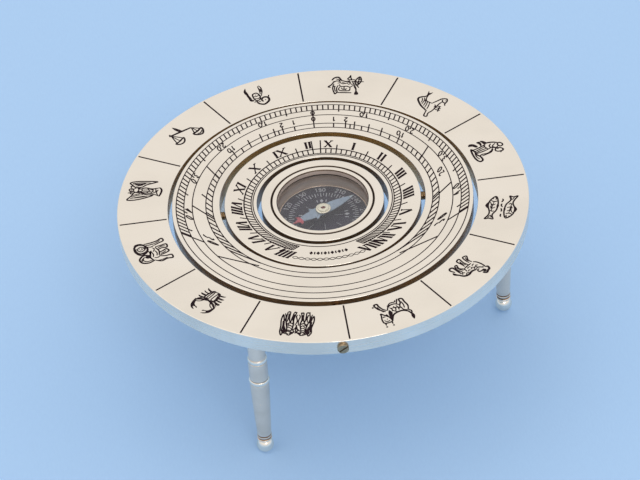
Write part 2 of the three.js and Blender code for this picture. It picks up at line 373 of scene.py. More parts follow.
def ray(south, radius, direction):
    """Where a line from the point at that distance south of the centre, in that direction, meets a circle
    about the centre."""
    turn = math.radians(direction)
    reach = south * math.cos(turn) + math.sqrt(max(0, radius ** 2 - (south * math.sin(turn)) ** 2))
    return (reach * math.sin(turn), reach * math.cos(turn) - south)


def direction_through(south, radius, angle):
    """The direction of the line from the south point through a point on a circle."""
    x, y = polar(radius, angle)
    return math.degrees(math.atan2(x, y + south))


# Numerals and marks: strokes in units of the numeral's height, x to the right, y up from the baseline.

DIGITS = {
    "0": [[(0.3, 0), (0.06, 0.25), (0.06, 0.75), (0.3, 1), (0.54, 0.75), (0.54, 0.25), (0.3, 0)]],
    "1": [[(0.14, 0.78), (0.3, 1), (0.3, 0)]],
    "2": [[(0.06, 0.78), (0.18, 0.98), (0.44, 0.96), (0.52, 0.7), (0.34, 0.4), (0.06, 0.02)],
          [(0.04, 0.02), (0.56, 0.02)]],
    "3": [[(0.06, 0.94), (0.3, 1), (0.52, 0.8), (0.26, 0.56), (0.54, 0.3), (0.32, 0), (0.04, 0.1)]],
    "4": [[(0.42, 0), (0.42, 1), (0.04, 0.32)], [(0.04, 0.32), (0.58, 0.32)]],
    "5": [[(0.52, 0.98), (0.14, 0.98), (0.1, 0.58)],
          [(0.1, 0.58), (0.4, 0.62), (0.54, 0.32), (0.34, 0.02), (0.04, 0.08)]],
    "6": [[(0.5, 0.94), (0.16, 0.7), (0.06, 0.28), (0.3, 0), (0.54, 0.26), (0.32, 0.54), (0.08, 0.34)]],
    "7": [[(0.04, 0.98), (0.56, 0.98)], [(0.56, 0.98), (0.32, 0.5), (0.22, 0)]],
    "8": [[(0.3, 0.54), (0.08, 0.76), (0.3, 1), (0.52, 0.76), (0.3, 0.54), (0.06, 0.26), (0.3, 0),
           (0.54, 0.26), (0.3, 0.54)]],
    "9": [[(0.1, 0.06), (0.44, 0.3), (0.54, 0.72), (0.3, 1), (0.06, 0.74), (0.28, 0.46), (0.52, 0.66)]],
}
DIGIT_WIDTH = 0.6
DIGIT_ADVANCE = 0.74


def number_strokes(text, advance=DIGIT_ADVANCE):
    """A number's strokes, centred on x = 0."""
    offset = -advance * len(text) / 2 + (advance - DIGIT_WIDTH) / 2
    for digit in text:
        for line in DIGITS[digit]:
            points = line if len(line) == 2 else spline(line, steps=4)
            yield [(x + offset, y) for x, y in points]
        offset += advance


ROMAN_WIDTH = {"I": 0.4, "V": 0.8, "X": 0.86}
THICK, THIN = 0.255, 0.13
HALF_SERIF = 0.15


def roman_strokes(text, spread):
    """A roman numeral's (stroke, width) pairs, centred on x = 0, with serifs."""
    widths = [ROMAN_WIDTH[letter] * spread for letter in text]
    left = -sum(widths) / 2
    for letter, width in zip(text, widths):
        a, b, middle = left + 0.12 * width, left + 0.88 * width, left + width / 2
        if letter == "I":
            yield [(middle, 0), (middle, 1)], THICK
            feet = [(middle, 0), (middle, 1)]
        elif letter == "V":
            yield [(a, 1), (middle, 0)], THICK
            yield [(middle, 0), (b, 1)], THIN
            feet = [(a, 1), (b, 1)]
        else:
            yield [(a, 1), (b, 0)], THICK
            yield [(a, 0), (b, 1)], THIN
            feet = [(a, 0), (b, 0), (a, 1), (b, 1)]
        for x, y in feet:
            yield [(x - HALF_SERIF, y), (x + HALF_SERIF, y)], THIN
        left += width


def write(engraving, strokes, height, centre_radius, direction, south, zero, width=None):
    """Writes (line, width share) strokes with their tops towards the centre, leaning with the cross lines.
    zero turns the whole of it about the ring's centre."""
    for line, share in strokes:
        points = []
        for x, y in subdivided(line):
            radius = centre_radius - (y - 0.5) * height
            _, lean = to_polar(ray(south, radius, direction))
            points.append(polar(radius, lean + zero - math.degrees(x * height / centre_radius)))
        engraving.stroke(points, width if width else share * height)


def subdivided(line):
    """A two-point line as four points, so that it can bend with the ring."""
    if len(line) != 2:
        return line
    (x0, y0), (x1, y1) = line
    return [(x0 + (x1 - x0) * k / 3, y0 + (y1 - y0) * k / 3) for k in range(4)]


def to_polar(point):
    return math.hypot(*point), math.degrees(math.atan2(point[0], point[1]))


# ---------------------------------------------------------------- zodiac figures

# Each figure is drawn in millimetres about its own centre, upright with the top outwards. A line is a kind,
# a width and its points: "c" an open curve, "o" a closed one, "l" a straight line, "b" a filled outline,
# "d" round dots. ("mirror", x) has everything after it drawn twice, mirrored about that x.

FISH = [
    ("o", 0.6, (7.4, 2.4), (4.6, 5.2), (0.6, 6.0), (-3.8, 4.9), (-6.4, 5.3), (-9.2, 6.7),
     (-8.5, 4.6), (-9.0, 2.8), (-5.8, 3.4), (-2.2, 1.4), (3.2, 1.2)),
    ("b", 0, (-1.4, 5.8), (0.6, 7.3), (3.0, 5.6)),
    ("b", 0, (-0.8, 1.6), (0.8, 0.5), (2.0, 1.5)),
    ("c", 0.55, (4.5, 4.7), (3.7, 3.3), (4.4, 1.9)),
    ("c", 0.45, (2.3, 4.9), (1.3, 3.6), (2.2, 2.2)),
    ("c", 0.45, (0.0, 5.0), (-1.0, 3.8), (-0.2, 2.4)),
    ("c", 0.45, (-2.6, 4.5), (-3.5, 3.8), (-2.9, 2.8)),
    ("c", 0.4, (3.4, 3.3), (0.4, 3.9), (-3.2, 4.1)),
    ("c", 0.4, (3.4, 5.2), (1.8, 4.3), (-1.6, 4.6)),
    ("l", 0.4, (-6.2, 4.4), (-8.4, 5.4)),
    ("l", 0.4, (-6.2, 4.0), (-8.4, 3.6)),
    ("c", 0.45, (6.9, 3.0), (6.0, 2.4), (5.2, 2.6)),
    ("d", 0.35, (5.7, 3.6)),
]

FIGURES = {
    "scorpion": [
        ("b", 0, (-3.1, 8.4), (-5.0, 6.4), (-4.8, 3.4), (-3.5, 2.2), (-3.1, 4.6), (-3.6, 6.4)),
        ("c", 1.1, (-4.1, 3.0), (-3.9, 0.2), (-3.6, -2.2), (-2.2, -2.6)),
        ("c", 0.5, (3.5, 8.0), (4.3, 6.0), (3.9, 3.2), (3.2, 1.0), (2.2, -0.6)),
        ("c", 0.5, (3.4, 7.2), (3.1, 4.8), (2.9, 2.6), (2.2, 0.8)),
        ("b", 0, (3.4, 5.0), (4.2, 4.6), (4.1, 2.8), (3.2, 2.4)),
        ("o", 0.6, (0.0, 2.9), (-1.6, 1.8), (-1.9, -1.2), (-1.1, -3.2), (0.7, -3.0), (1.6, -0.8), (1.4, 1.8)),
        ("c", 0.45, (-1.6, 0.6), (0.0, -0.1), (1.4, 0.6)),
        ("c", 0.45, (-1.6, -1.2), (0.0, -1.9), (1.5, -1.2)),
        ("c", 0.9, (-1.2, -3.0), (-1.0, -5.6), (0.8, -7.2), (3.0, -7.0), (4.9, -5.4), (4.7, -3.0),
         (2.9, -2.0), (1.5, -3.4), (1.9, -5.2)),
        ("c", 0.5, (4.6, -3.2), (5.6, -2.4), (5.7, -1.2)),
        ("c", 0.45, (-1.8, -3.4), (-2.9, -4.2)),
        ("c", 0.45, (-0.8, -4.4), (0.8, -4.4)),
        ("d", 0.35, (3.1, -4.3), (-0.1, 1.4)),
    ],
    "scales": [
        ("l", 0.85, (-5.4, 4.9), (6.4, 0.5)),
        ("b", 0, (0.4, 2.8), (0.2, 5.4), (0.9, 8.5), (1.7, 5.6), (1.8, 2.3)),
        ("l", 0.6, (-4.7, 4.5), (-4.5, 6.0)),
        ("l", 0.5, (-4.6, 4.4), (-7.4, -1.6)),
        ("l", 0.4, (-4.6, 4.4), (-4.8, -1.6)),
        ("l", 0.5, (-4.6, 4.4), (-2.3, -1.6)),
        ("o", 0.7, (-7.6, -1.6), (-6.8, -3.4), (-4.9, -4.0), (-3.0, -3.4), (-2.1, -1.6), (-4.9, -1.9)),
        ("l", 0.5, (6.4, 0.4), (3.9, -3.9)),
        ("l", 0.4, (6.4, 0.4), (6.2, -3.9)),
        ("l", 0.5, (6.4, 0.4), (8.6, -3.9)),
        ("o", 0.8, (3.5, -3.9), (3.9, -6.0), (6.2, -7.3), (8.5, -6.0), (8.9, -3.9), (6.2, -4.3)),
        ("c", 0.5, (4.6, -5.4), (6.2, -6.1), (7.8, -5.4)),
    ],
    "maiden": [
        ("o", 0.55, (0.4, 8.1), (-0.6, 7.2), (-0.2, 6.0), (1.0, 6.0), (1.5, 7.2)),
        ("c", 0.5, (-2.0, 8.3), (-1.5, 7.0), (-1.0, 5.8)),
        ("o", 0.6, (-1.4, 5.0), (-3.8, 6.2), (-6.9, 7.8), (-7.3, 5.6), (-6.2, 2.2), (-4.4, -1.8),
         (-2.7, -4.4), (-2.4, -1.2), (-1.7, 2.0)),
        ("c", 0.45, (-6.2, 6.4), (-4.6, 3.0), (-3.4, -0.6)),
        ("c", 0.45, (-5.0, 6.2), (-3.4, 3.2), (-2.6, 0.6)),
        ("o", 0.6, (2.2, 5.0), (3.6, 6.6), (5.4, 8.2), (6.7, 6.0), (7.3, 1.4), (7.4, -4.8), (6.1, -2.8),
         (4.8, 0.2), (3.0, 1.8)),
        ("c", 0.45, (5.4, 7.0), (5.9, 3.0), (6.5, -1.8)),
        ("c", 0.45, (4.2, 6.0), (4.6, 3.2), (5.2, 0.6)),
        ("c", 0.6, (-0.6, 5.8), (-1.4, 4.2), (-0.4, 2.6), (-1.4, 0.4), (-1.4, -3.6), (-3.4, -7.6)),
        ("c", 0.6, (1.2, 5.8), (2.4, 4.2), (1.6, 2.4), (2.6, 0.2), (2.2, -3.8), (3.2, -7.0)),
        ("c", 0.5, (-1.0, 3.8), (0.6, 3.2), (2.2, 4.2)),
        ("c", 0.5, (-0.8, 2.2), (0.6, 1.6), (1.8, 2.2)),
        ("l", 0.45, (0.1, 1.2), (-0.2, -4.6)),
        ("l", 0.45, (1.0, 1.2), (1.2, -4.4)),
        ("c", 0.75, (-3.5, -7.6), (-1.0, -8.3), (1.6, -8.1), (3.2, -7.0)),
        ("c", 0.5, (-2.6, -6.6), (-0.4, -5.8), (1.6, -6.6)),
        ("c", 0.5, (-1.0, -4.6), (0.2, -5.6), (2.6, -5.0)),
        ("c", 0.45, (-5.7, 4.4), (-4.7, 1.4), (-3.8, -1.8)),
        ("c", 0.45, (-3.6, 5.6), (-2.7, 3.6), (-2.2, 2.2)),
        ("c", 0.45, (4.8, 7.2), (5.2, 4.0), (5.9, 0.4)),
        ("c", 0.45, (3.2, 5.2), (3.8, 3.4), (4.4, 1.8)),
        ("c", 0.5, (-1.0, 7.4), (-2.6, 6.8), (-2.2, 5.6)),
        ("c", 0.5, (2.0, 7.2), (2.9, 7.8), (3.2, 6.6)),
        ("c", 0.45, (-1.2, -0.8), (0.4, -1.9), (2.2, -1.0)),
        ("c", 0.45, (-1.4, -2.8), (0.4, -3.8), (2.1, -3.0)),
        ("d", 0.32, (0.1, 7.2), (0.9, 6.9)),
    ],
    "lion": [
        ("c", 0.75, (-5.4, 1.0), (-6.4, 4.2), (-5.0, 7.2), (-2.2, 7.6), (-0.4, 5.6), (-0.8, 3.2),
         (-2.4, 2.4)),
        ("c", 0.5, (-4.9, 2.0), (-5.0, 4.6), (-3.6, 6.3), (-1.9, 5.8), (-1.6, 4.2)),
        ("b", 0, (-2.8, 4.2), (-1.2, 4.4), (-0.9, 2.4), (-2.9, 2.0)),
        ("o", 0.8, (4.4, 7.9), (2.0, 6.8), (1.4, 4.4), (2.4, 2.2), (4.6, 1.5), (7.0, 2.6), (7.9, 4.8),
         (7.0, 7.0)),
        ("o", 0.45, (4.4, 6.2), (3.0, 5.0), (3.4, 3.2), (5.0, 2.8), (6.2, 4.2), (5.8, 5.8)),
        ("c", 0.45, (3.8, 4.4), (4.6, 3.8), (5.4, 4.4)),
        ("d", 0.28, (3.9, 5.1), (5.2, 5.2)),
        ("c", 0.65, (-5.4, 1.2), (-3.0, 2.2), (0.0, 1.2), (2.2, 2.0)),
        ("c", 0.6, (-3.2, -2.2), (0.0, -3.0), (3.2, -2.2)),
        ("c", 0.65, (-5.6, 0.9), (-7.4, -1.6), (-6.7, -4.8), (-7.2, -7.4), (-5.0, -7.6), (-4.9, -4.8),
         (-3.4, -2.2)),
        ("c", 0.65, (-3.2, -2.6), (-2.8, -5.0), (-1.9, -7.4), (0.0, -7.0), (-0.9, -4.8), (-0.9, -2.8)),
        ("c", 0.65, (1.2, -2.8), (1.6, -5.2), (1.1, -7.7), (3.1, -7.8), (3.2, -5.0), (3.6, -2.4)),
        ("c", 0.65, (4.6, -2.0), (5.4, -4.8), (6.3, -7.4), (8.2, -7.2), (7.2, -4.4), (7.2, -1.0), (7.6, 2.2)),
        ("c", 0.5, (4.9, 1.2), (4.2, -0.4), (4.6, -2.0)),
        ("c", 0.5, (6.4, 1.6), (5.8, 0.0), (6.2, -1.8)),
        ("c", 0.45, (0.6, -0.2), (2.0, -1.2), (3.4, -0.6)),
        ("c", 0.45, (-3.9, 0.6), (-4.4, -1.2), (-3.6, -2.2)),
        ("c", 0.55, (2.2, 7.7), (0.6, 6.2), (0.5, 3.9), (1.6, 2.4)),
        ("c", 0.5, (6.8, 7.7), (8.4, 6.4), (8.6, 4.2), (7.6, 2.6)),
        ("c", 0.5, (-3.2, 1.2), (-1.4, 0.2), (0.6, 0.6)),
        ("c", 0.5, (-2.8, -0.9), (-0.8, -1.6), (1.2, -1.0)),
        ("b", 0, (-0.6, 1.9), (1.0, 1.7), (1.8, 0.5), (0.2, 0.7)),
        ("c", 0.45, (-6.2, -0.2), (-6.4, -2.6), (-6.0, -5.2)),
        ("c", 0.45, (-2.1, -3.0), (-1.9, -5.0), (-1.2, -6.4)),
        ("c", 0.45, (2.3, -3.2), (2.4, -5.4), (2.1, -7.0)),
        ("c", 0.45, (5.6, -1.4), (6.2, -3.8), (7.0, -5.8)),
        ("c", 0.5, (2.2, 5.8), (2.8, 6.8), (4.4, 7.1), (6.0, 6.6)),
        ("c", 0.5, (-4.2, 6.9), (-2.8, 6.9), (-1.6, 5.2)),
        ("b", 0, (3.6, 2.6), (4.6, 3.3), (5.6, 2.5), (4.8, 1.9)),
    ],
    "crayfish": [
        ("mirror", 0.6),
        ("b", 0, (-1.9, 8.0), (-4.0, 7.6), (-5.7, 5.2), (-6.1, 1.2), (-5.1, 2.6), (-4.2, 4.8), (-2.6, 5.8),
         (-3.9, 6.4)),
        ("c", 0.5, (-2.9, 5.6), (-1.7, 6.3)),
        ("c", 0.9, (-5.8, 2.2), (-3.6, 0.2), (0.0, -0.9)),
        ("c", 0.45, (-5.6, 0.6), (-3.4, -1.0), (-1.6, -1.0), (-3.0, 1.6), (-5.0, 2.6)),
        ("c", 0.65, (0.0, -1.1), (-2.6, -1.1), (-3.1, -3.2), (-2.2, -7.0), (0.0, -7.4)),
        ("o", 0.45, (-2.2, -2.0), (-0.8, -2.0), (-0.8, -6.4), (-1.5, -6.6)),
        ("b", 0, (-3.0, -0.9), (-5.6, -0.4), (-6.3, -1.4), (-5.0, -1.5), (-3.2, -1.8)),
        ("b", 0, (-2.9, -2.5), (-5.4, -2.4), (-6.4, -3.4), (-5.0, -3.3), (-3.0, -3.2)),
        ("b", 0, (-2.8, -4.1), (-5.2, -4.3), (-6.1, -5.4), (-4.8, -5.1), (-2.7, -4.8)),
        ("b", 0, (-2.5, -5.7), (-4.8, -6.3), (-5.4, -7.6), (-4.3, -7.1), (-2.3, -6.5)),
    ],
    "twins": [
        ("mirror", 0.2),
        ("o", 0.55, (-3.3, 7.7), (-4.4, 6.9), (-4.2, 5.7), (-3.1, 5.4), (-2.2, 6.2), (-2.4, 7.3)),
        ("o", 0.55, (-6.6, 7.9), (-7.6, 5.6), (-7.3, 2.0), (-7.8, -2.4), (-7.3, -5.8), (-6.5, -2.2),
         (-6.2, 2.2), (-5.9, 5.6)),
        ("c", 0.6, (-4.4, 5.4), (-5.4, 3.8), (-6.2, 1.4)),
        ("c", 0.6, (-4.4, 5.2), (-4.6, 2.6), (-5.0, 0.0), (-5.6, -3.4), (-5.2, -7.8)),
        ("c", 0.6, (-2.6, 5.2), (-1.9, 2.8), (-1.6, 0.2), (-1.8, -3.4), (-1.1, -7.6)),
        ("c", 0.55, (-3.3, -0.8), (-3.9, -3.8), (-3.8, -8.0)),
        ("c", 0.55, (-3.3, -0.8), (-2.7, -3.8), (-2.4, -7.8)),
        ("c", 0.6, (-4.9, 0.4), (-3.3, -0.4), (-1.6, 0.4)),
        ("c", 0.55, (-2.4, 4.8), (-0.8, 3.6), (0.0, 1.8)),
        ("c", 0.45, (-4.3, 3.4), (-3.4, 2.8), (-2.2, 3.4)),
        ("l", 0.7, (-5.3, -7.9), (-3.8, -8.0)),
        ("l", 0.7, (-2.4, -7.9), (-1.0, -7.6)),
        ("l", 0.5, (0.0, 6.4), (0.0, 0.8)),
        ("c", 0.55, (-5.7, 6.9), (-5.1, 4.8), (-5.8, 2.8)),
        ("c", 0.5, (-6.9, 5.4), (-6.6, 2.0), (-7.0, -1.8)),
        ("c", 0.5, (-5.0, 7.2), (-5.2, 6.2), (-4.6, 5.0)),
        ("c", 0.5, (-4.0, 2.2), (-3.2, 1.2), (-2.2, 2.0)),
        ("c", 0.5, (-4.6, -1.4), (-4.4, -4.4), (-4.8, -6.8)),
        ("c", 0.5, (-2.1, -1.2), (-2.3, -4.2), (-1.8, -6.4)),
        ("c", 0.55, (-1.5, 6.8), (-0.7, 5.4), (-1.6, 3.8)),
        ("c", 0.5, (-1.0, 1.2), (-0.3, -1.8), (-0.9, -4.8), (-0.4, -6.4)),
        ("c", 0.5, (-6.2, -0.8), (-5.9, -3.6), (-6.5, -6.8)),
        ("b", 0, (-2.7, 7.2), (-1.5, 6.8), (-1.2, 5.4), (-2.2, 5.8)),
        ("b", 0, (-6.6, 6.6), (-5.8, 6.0), (-6.0, 4.4), (-6.8, 4.8)),
        ("l", 0.5, (-5.2, 4.2), (-2.6, 4.4)),
        ("l", 0.5, (-4.9, 1.4), (-3.6, 0.4)),
        ("d", 0.3, (-3.7, 6.7), (-2.9, 6.5)),
    ],
    "bull": [
        ("b", 0, (-6.9, 8.8), (-7.9, 6.6), (-7.6, 4.6), (-6.8, 4.4), (-6.5, 6.6)),
        ("c", 0.6, (-7.3, 4.8), (-7.6, 2.8), (-6.4, 1.0)),
        ("c", 0.75, (-7.0, 4.6), (-6.2, 2.4), (-3.6, 1.0), (-0.4, 1.2), (1.6, 2.4), (3.0, 5.4)),
        ("b", 0, (2.9, 5.4), (1.6, 2.4), (0.7, 0.0), (1.8, -1.8), (2.8, 0.0), (3.2, 2.4)),
        ("o", 0.6, (3.2, 5.6), (6.8, 5.4), (7.3, 3.0), (6.6, 0.8), (6.2, -1.2), (4.9, 0.6), (3.6, 2.4)),
        ("l", 0.55, (3.4, 5.6), (3.5, 7.6)),
        ("l", 0.55, (6.6, 5.4), (7.0, 7.4)),
        ("d", 0.5, (3.5, 8.2), (7.1, 8.1), (8.0, -6.7)),
        ("d", 0.32, (4.9, 3.6), (6.1, 3.6)),
        ("c", 0.7, (-6.9, 1.6), (-7.8, -1.4), (-7.2, -4.2), (-6.8, -6.8), (-5.2, -7.0), (-5.2, -4.6),
         (-4.2, -3.0), (-3.7, -1.0)),
        ("c", 0.5, (-5.6, -0.2), (-6.1, -2.6), (-5.6, -5.0)),
        ("c", 0.6, (-4.2, -3.4), (-2.4, -4.6), (-0.4, -4.9), (1.4, -3.8), (2.4, -1.8)),
        ("c", 0.5, (-2.6, -0.2), (-3.0, -1.8), (-2.5, -3.4)),
        ("c", 0.5, (-1.0, 0.0), (-1.4, -1.8), (-0.9, -3.6)),
        ("c", 0.5, (0.6, -0.6), (0.3, -2.0), (0.8, -3.4)),
        ("c", 0.55, (-3.2, -4.4), (-4.2, -6.2), (-4.7, -7.6)),
        ("c", 0.55, (1.6, -4.2), (-0.4, -6.0), (-2.6, -6.2), (-3.6, -7.0)),
        ("c", 0.5, (-6.2, 1.4), (-4.6, 0.2), (-4.2, -1.8)),
        ("c", 0.45, (-1.9, 0.9), (-0.6, 0.0), (0.2, -1.0)),
        ("c", 0.45, (-3.6, -1.4), (-1.8, -2.6), (0.4, -2.8)),
        ("c", 0.45, (4.4, -1.6), (5.4, -3.8), (6.0, -6.4)),
        ("c", 0.45, (4.0, 4.7), (5.2, 4.9), (6.6, 4.5)),
        ("c", 0.45, (5.0, 1.8), (5.6, 1.2), (6.2, 1.9)),
        ("b", 0, (4.0, 2.6), (4.8, 1.2), (4.2, 0.2), (3.5, 1.2)),
        ("c", 0.7, (2.6, -2.2), (4.3, -3.6), (5.2, -6.4), (5.4, -8.1), (7.0, -7.6), (6.2, -4.6),
         (4.6, -2.4), (3.6, -1.4)),
    ],
    "ram": [
        ("c", 0.9, (-5.4, 5.4), (-6.3, 6.4), (-5.6, 7.6), (-4.0, 7.8), (-2.6, 8.3), (-1.6, 7.4), (-2.2, 6.6)),
        ("c", 0.6, (-3.8, 6.9), (-3.4, 5.8), (-2.2, 5.6), (-1.0, 5.2), (-1.2, 3.8), (-2.4, 3.8)),
        ("c", 0.6, (-5.2, 5.8), (-6.0, 4.0), (-5.8, 1.6), (-5.4, -0.4), (-4.6, -1.6)),
        ("c", 0.6, (-4.6, 5.2), (-3.9, 3.6), (-3.0, 2.6), (-1.6, 2.6)),
        ("c", 0.9, (-1.4, 3.2), (0.6, 2.2), (3.4, 2.4), (5.6, 1.0), (6.6, -1.6)),
        ("b", 0, (5.6, 1.2), (7.0, -0.8), (8.3, -3.4), (7.4, -4.8), (6.7, -2.4), (5.9, -0.8)),
        ("c", 0.55, (-3.4, -1.4), (-1.0, -2.0), (1.6, -1.8)),
        ("c", 0.6, (-4.6, -1.8), (-4.7, -4.0), (-6.3, -6.6), (-4.4, -7.2), (-3.4, -4.8), (-3.2, -2.4)),
        ("c", 0.6, (-1.9, -2.4), (-1.6, -5.0), (-2.4, -7.8), (-0.4, -8.0), (-0.1, -5.2), (0.2, -2.6)),
        ("c", 0.6, (2.4, 0.4), (1.8, -2.0), (2.8, -4.2), (1.9, -6.2), (3.2, -6.4), (4.3, -4.0),
         (3.8, -1.8), (4.2, -0.2)),
        ("c", 0.75, (5.2, -1.0), (5.0, -3.8), (4.2, -6.6), (5.6, -7.6), (6.5, -6.6), (6.3, -4.2)),
        ("c", 0.45, (-4.4, 1.8), (-3.6, 1.0), (-2.8, 1.7)),
        ("c", 0.45, (-3.9, 0.0), (-3.0, -0.6), (-2.2, 0.0)),
        ("c", 0.45, (-2.0, 1.2), (-1.1, 0.5), (-0.2, 1.2)),
        ("c", 0.45, (-1.2, -0.6), (-0.3, -1.1), (0.6, -0.5)),
        ("c", 0.45, (0.4, 1.0), (1.2, 0.3), (2.0, 0.9)),
        ("c", 0.5, (-3.2, 2.2), (-2.2, 1.5), (-1.0, 2.2)),
        ("c", 0.45, (2.2, 1.9), (3.2, 1.0), (4.4, 1.5)),
        ("c", 0.45, (3.4, 0.0), (4.4, -0.6), (5.4, 0.2)),
        ("c", 0.45, (-4.4, -2.6), (-4.2, -4.6), (-5.2, -6.2)),
        ("c", 0.45, (-1.2, -2.8), (-0.8, -4.8), (-1.4, -7.0)),
        ("c", 0.45, (2.6, -1.6), (3.2, -3.6), (2.8, -5.6)),
        ("b", 0, (-3.6, 7.4), (-2.4, 7.3), (-2.6, 6.0), (-3.6, 6.3)),
        ("d", 0.3, (-4.8, 4.5)),
    ],
    "fishes": [
        *[(kind, width, *[(x - 0.3, y - 0.3) for x, y in points]) for kind, width, *points in FISH],
        *[(kind, width, *[(-x - 0.9, -y - 1.5) for x, y in points]) for kind, width, *points in FISH],
        ("c", 0.6, (-7.2, -0.8), (-5.8, -0.4), (-4.6, -0.9)),
        ("c", 0.6, (-3.2, -0.5), (-2.0, -0.9), (-1.0, -0.5)),
        ("c", 0.6, (0.2, -0.9), (1.4, -0.4), (2.6, -0.9)),
        ("c", 0.6, (4.0, -0.5), (5.2, -0.9), (6.2, -0.5)),
    ],
    "water carrier": [
        ("o", 0.6, (-0.2, 8.3), (-1.4, 7.4), (-1.2, 6.1), (0.0, 5.7), (1.0, 6.6), (0.8, 7.8)),
        ("c", 0.75, (-1.4, 6.6), (-3.0, 4.4), (-3.9, 1.6), (-3.4, 0.0)),
        ("c", 0.6, (0.6, 5.6), (1.4, 4.2), (0.4, 2.2), (1.0, 0.2)),
        ("c", 0.55, (-1.8, 5.0), (-0.4, 3.2), (1.6, 4.0), (2.8, 5.0)),
        ("c", 0.55, (-2.6, 2.8), (-1.2, 1.6), (0.4, 2.2)),
        ("o", 0.6, (2.6, 6.2), (4.2, 6.9), (4.9, 5.8), (4.3, 4.0), (3.0, 3.0), (2.0, 4.2)),
        ("c", 0.5, (3.6, 7.4), (5.6, 4.6)),
        ("c", 0.6, (1.0, 2.4), (2.6, 1.0), (3.4, -1.6), (3.4, -4.4), (4.4, -6.2)),
        ("c", 0.5, (1.8, 2.6), (3.4, 0.6), (4.2, -2.2), (4.4, -4.6)),
        ("c", 0.6, (-3.2, 0.2), (-1.6, -0.8), (1.0, 0.2)),
        ("c", 0.6, (-2.9, 0.0), (-2.2, -3.4), (-1.6, -7.6)),
        ("c", 0.5, (-1.4, -0.8), (-0.8, -4.0), (-0.2, -7.0)),
        ("c", 0.5, (-0.2, -0.6), (0.2, -3.8), (0.8, -7.0)),
        ("c", 0.6, (1.0, 0.0), (1.2, -3.4), (1.6, -6.6)),
        ("b", 0, (-3.8, 1.4), (-6.2, 0.6), (-6.6, -1.2), (-4.8, -0.6), (-3.4, -0.4)),
        ("b", 0, (-4.0, -1.2), (-6.4, -1.6), (-6.2, -3.4), (-4.4, -2.6), (-2.8, -2.2)),
        ("b", 0, (-3.2, -3.8), (-5.6, -4.8), (-6.6, -6.8), (-5.2, -8.2), (-4.4, -6.2), (-2.8, -5.0)),
        ("o", 0.75, (-2.4, -7.8), (0.8, -8.4), (5.0, -8.4), (7.8, -7.4), (7.2, -5.8), (4.6, -5.8),
         (2.2, -6.8), (-0.4, -6.8)),
        ("c", 0.45, (1.4, -7.5), (4.0, -7.5), (6.0, -6.8)),
    ],
    "sea goat": [
        ("b", 0, (-6.3, 8.3), (-5.0, 7.2), (-3.9, 8.4), (-4.1, 6.0), (-4.8, 4.6), (-5.8, 6.4)),
        ("c", 0.8, (-4.9, 5.6), (-5.0, 3.8), (-6.8, 2.4), (-7.3, 0.6), (-5.6, -1.6), (-2.8, -3.6),
         (0.2, -4.8), (1.6, -5.0)),
        ("c", 0.55, (-4.4, 5.4), (-4.0, 2.8), (-2.6, 1.4), (-0.4, 1.2), (1.0, 1.4)),
        ("c", 0.45, (-6.2, 2.0), (-5.0, 0.6), (-4.4, -1.4)),
        ("c", 0.45, (-5.2, 2.6), (-4.0, 0.8), (-3.2, -2.0)),
        ("c", 0.45, (-3.9, 1.8), (-2.6, -0.4), (-1.8, -2.9)),
        ("c", 0.45, (-2.2, 1.2), (-1.0, -1.0), (-0.4, -3.6)),
        ("c", 0.45, (-0.6, 1.0), (0.6, -1.2), (1.2, -4.0)),
        ("c", 0.65, (1.0, 1.4), (1.8, 4.4), (3.0, 6.8), (5.2, 8.0), (6.4, 6.6), (6.6, 4.6), (7.2, 3.0)),
        ("c", 0.55, (3.8, 6.6), (4.4, 5.2), (5.8, 4.8), (6.4, 5.6)),
        ("c", 0.6, (4.6, 5.0), (3.9, 3.0), (4.2, 1.0), (4.4, -2.4), (4.0, -5.0)),
        ("c", 0.5, (2.6, 1.2), (3.4, 0.4), (3.6, -1.0)),
        ("c", 0.6, (1.6, -5.0), (2.2, -7.4), (3.0, -8.9), (4.6, -8.6), (3.8, -6.4), (4.2, -4.4)),
        ("l", 0.6, (5.4, 1.6), (7.0, -2.8)),
        ("l", 0.5, (4.6, 0.9), (6.2, 1.4)),
        ("l", 0.5, (4.7, -0.4), (6.9, 0.0)),
        ("l", 0.5, (4.8, -1.8), (7.4, -1.4)),
        ("d", 0.3, (5.2, 6.5)),
    ],
    "archer": [
        ("c", 0.8, (-7.6, 3.6), (-6.8, 5.6), (-4.8, 6.2), (-3.2, 4.8), (-2.2, 3.6)),
        ("c", 0.55, (-6.8, 1.8), (-5.2, 3.4), (-3.6, 3.0)),
        ("c", 0.65, (-2.4, 3.8), (-0.4, 3.2), (1.6, 4.0)),
        ("o", 0.55, (1.0, 6.6), (0.4, 5.4), (1.4, 4.6), (2.4, 5.4), (1.9, 6.6), (1.4, 8.2)),
        ("c", 0.65, (-6.6, 3.0), (-7.2, 0.2), (-8.6, -1.6), (-7.6, -2.0)),
        ("c", 0.6, (-6.2, 0.8), (-6.6, -2.4), (-5.2, -6.4), (-4.4, -7.2), (-3.8, -5.6), (-4.6, -2.6),
         (-4.0, 0.0)),
        ("c", 0.45, (-5.5, -0.6), (-5.6, -3.0), (-4.8, -5.4)),
        ("c", 0.55, (-3.6, 0.6), (-2.4, -1.0), (0.4, -0.6), (2.4, -1.2), (3.8, 0.4)),
        ("c", 0.55, (-3.0, -1.0), (-3.2, -3.4), (-2.0, -4.2), (1.8, -4.2), (2.6, -3.0), (2.4, -1.2)),
        ("c", 0.5, (-0.6, -1.0), (-0.4, -2.8), (0.8, -3.4)),
        ("c", 0.6, (3.0, 3.2), (4.0, 0.8), (5.4, -2.2), (6.0, -4.6)),
        ("c", 0.55, (3.8, 4.0), (5.2, 1.4), (7.0, -1.6)),
        ("o", 0.6, (6.4, 7.4), (4.9, 5.2), (4.7, 2.8), (5.9, 0.6), (7.2, 2.8), (7.5, 5.2)),
        ("l", 0.5, (6.4, 7.2), (6.0, 0.8)),
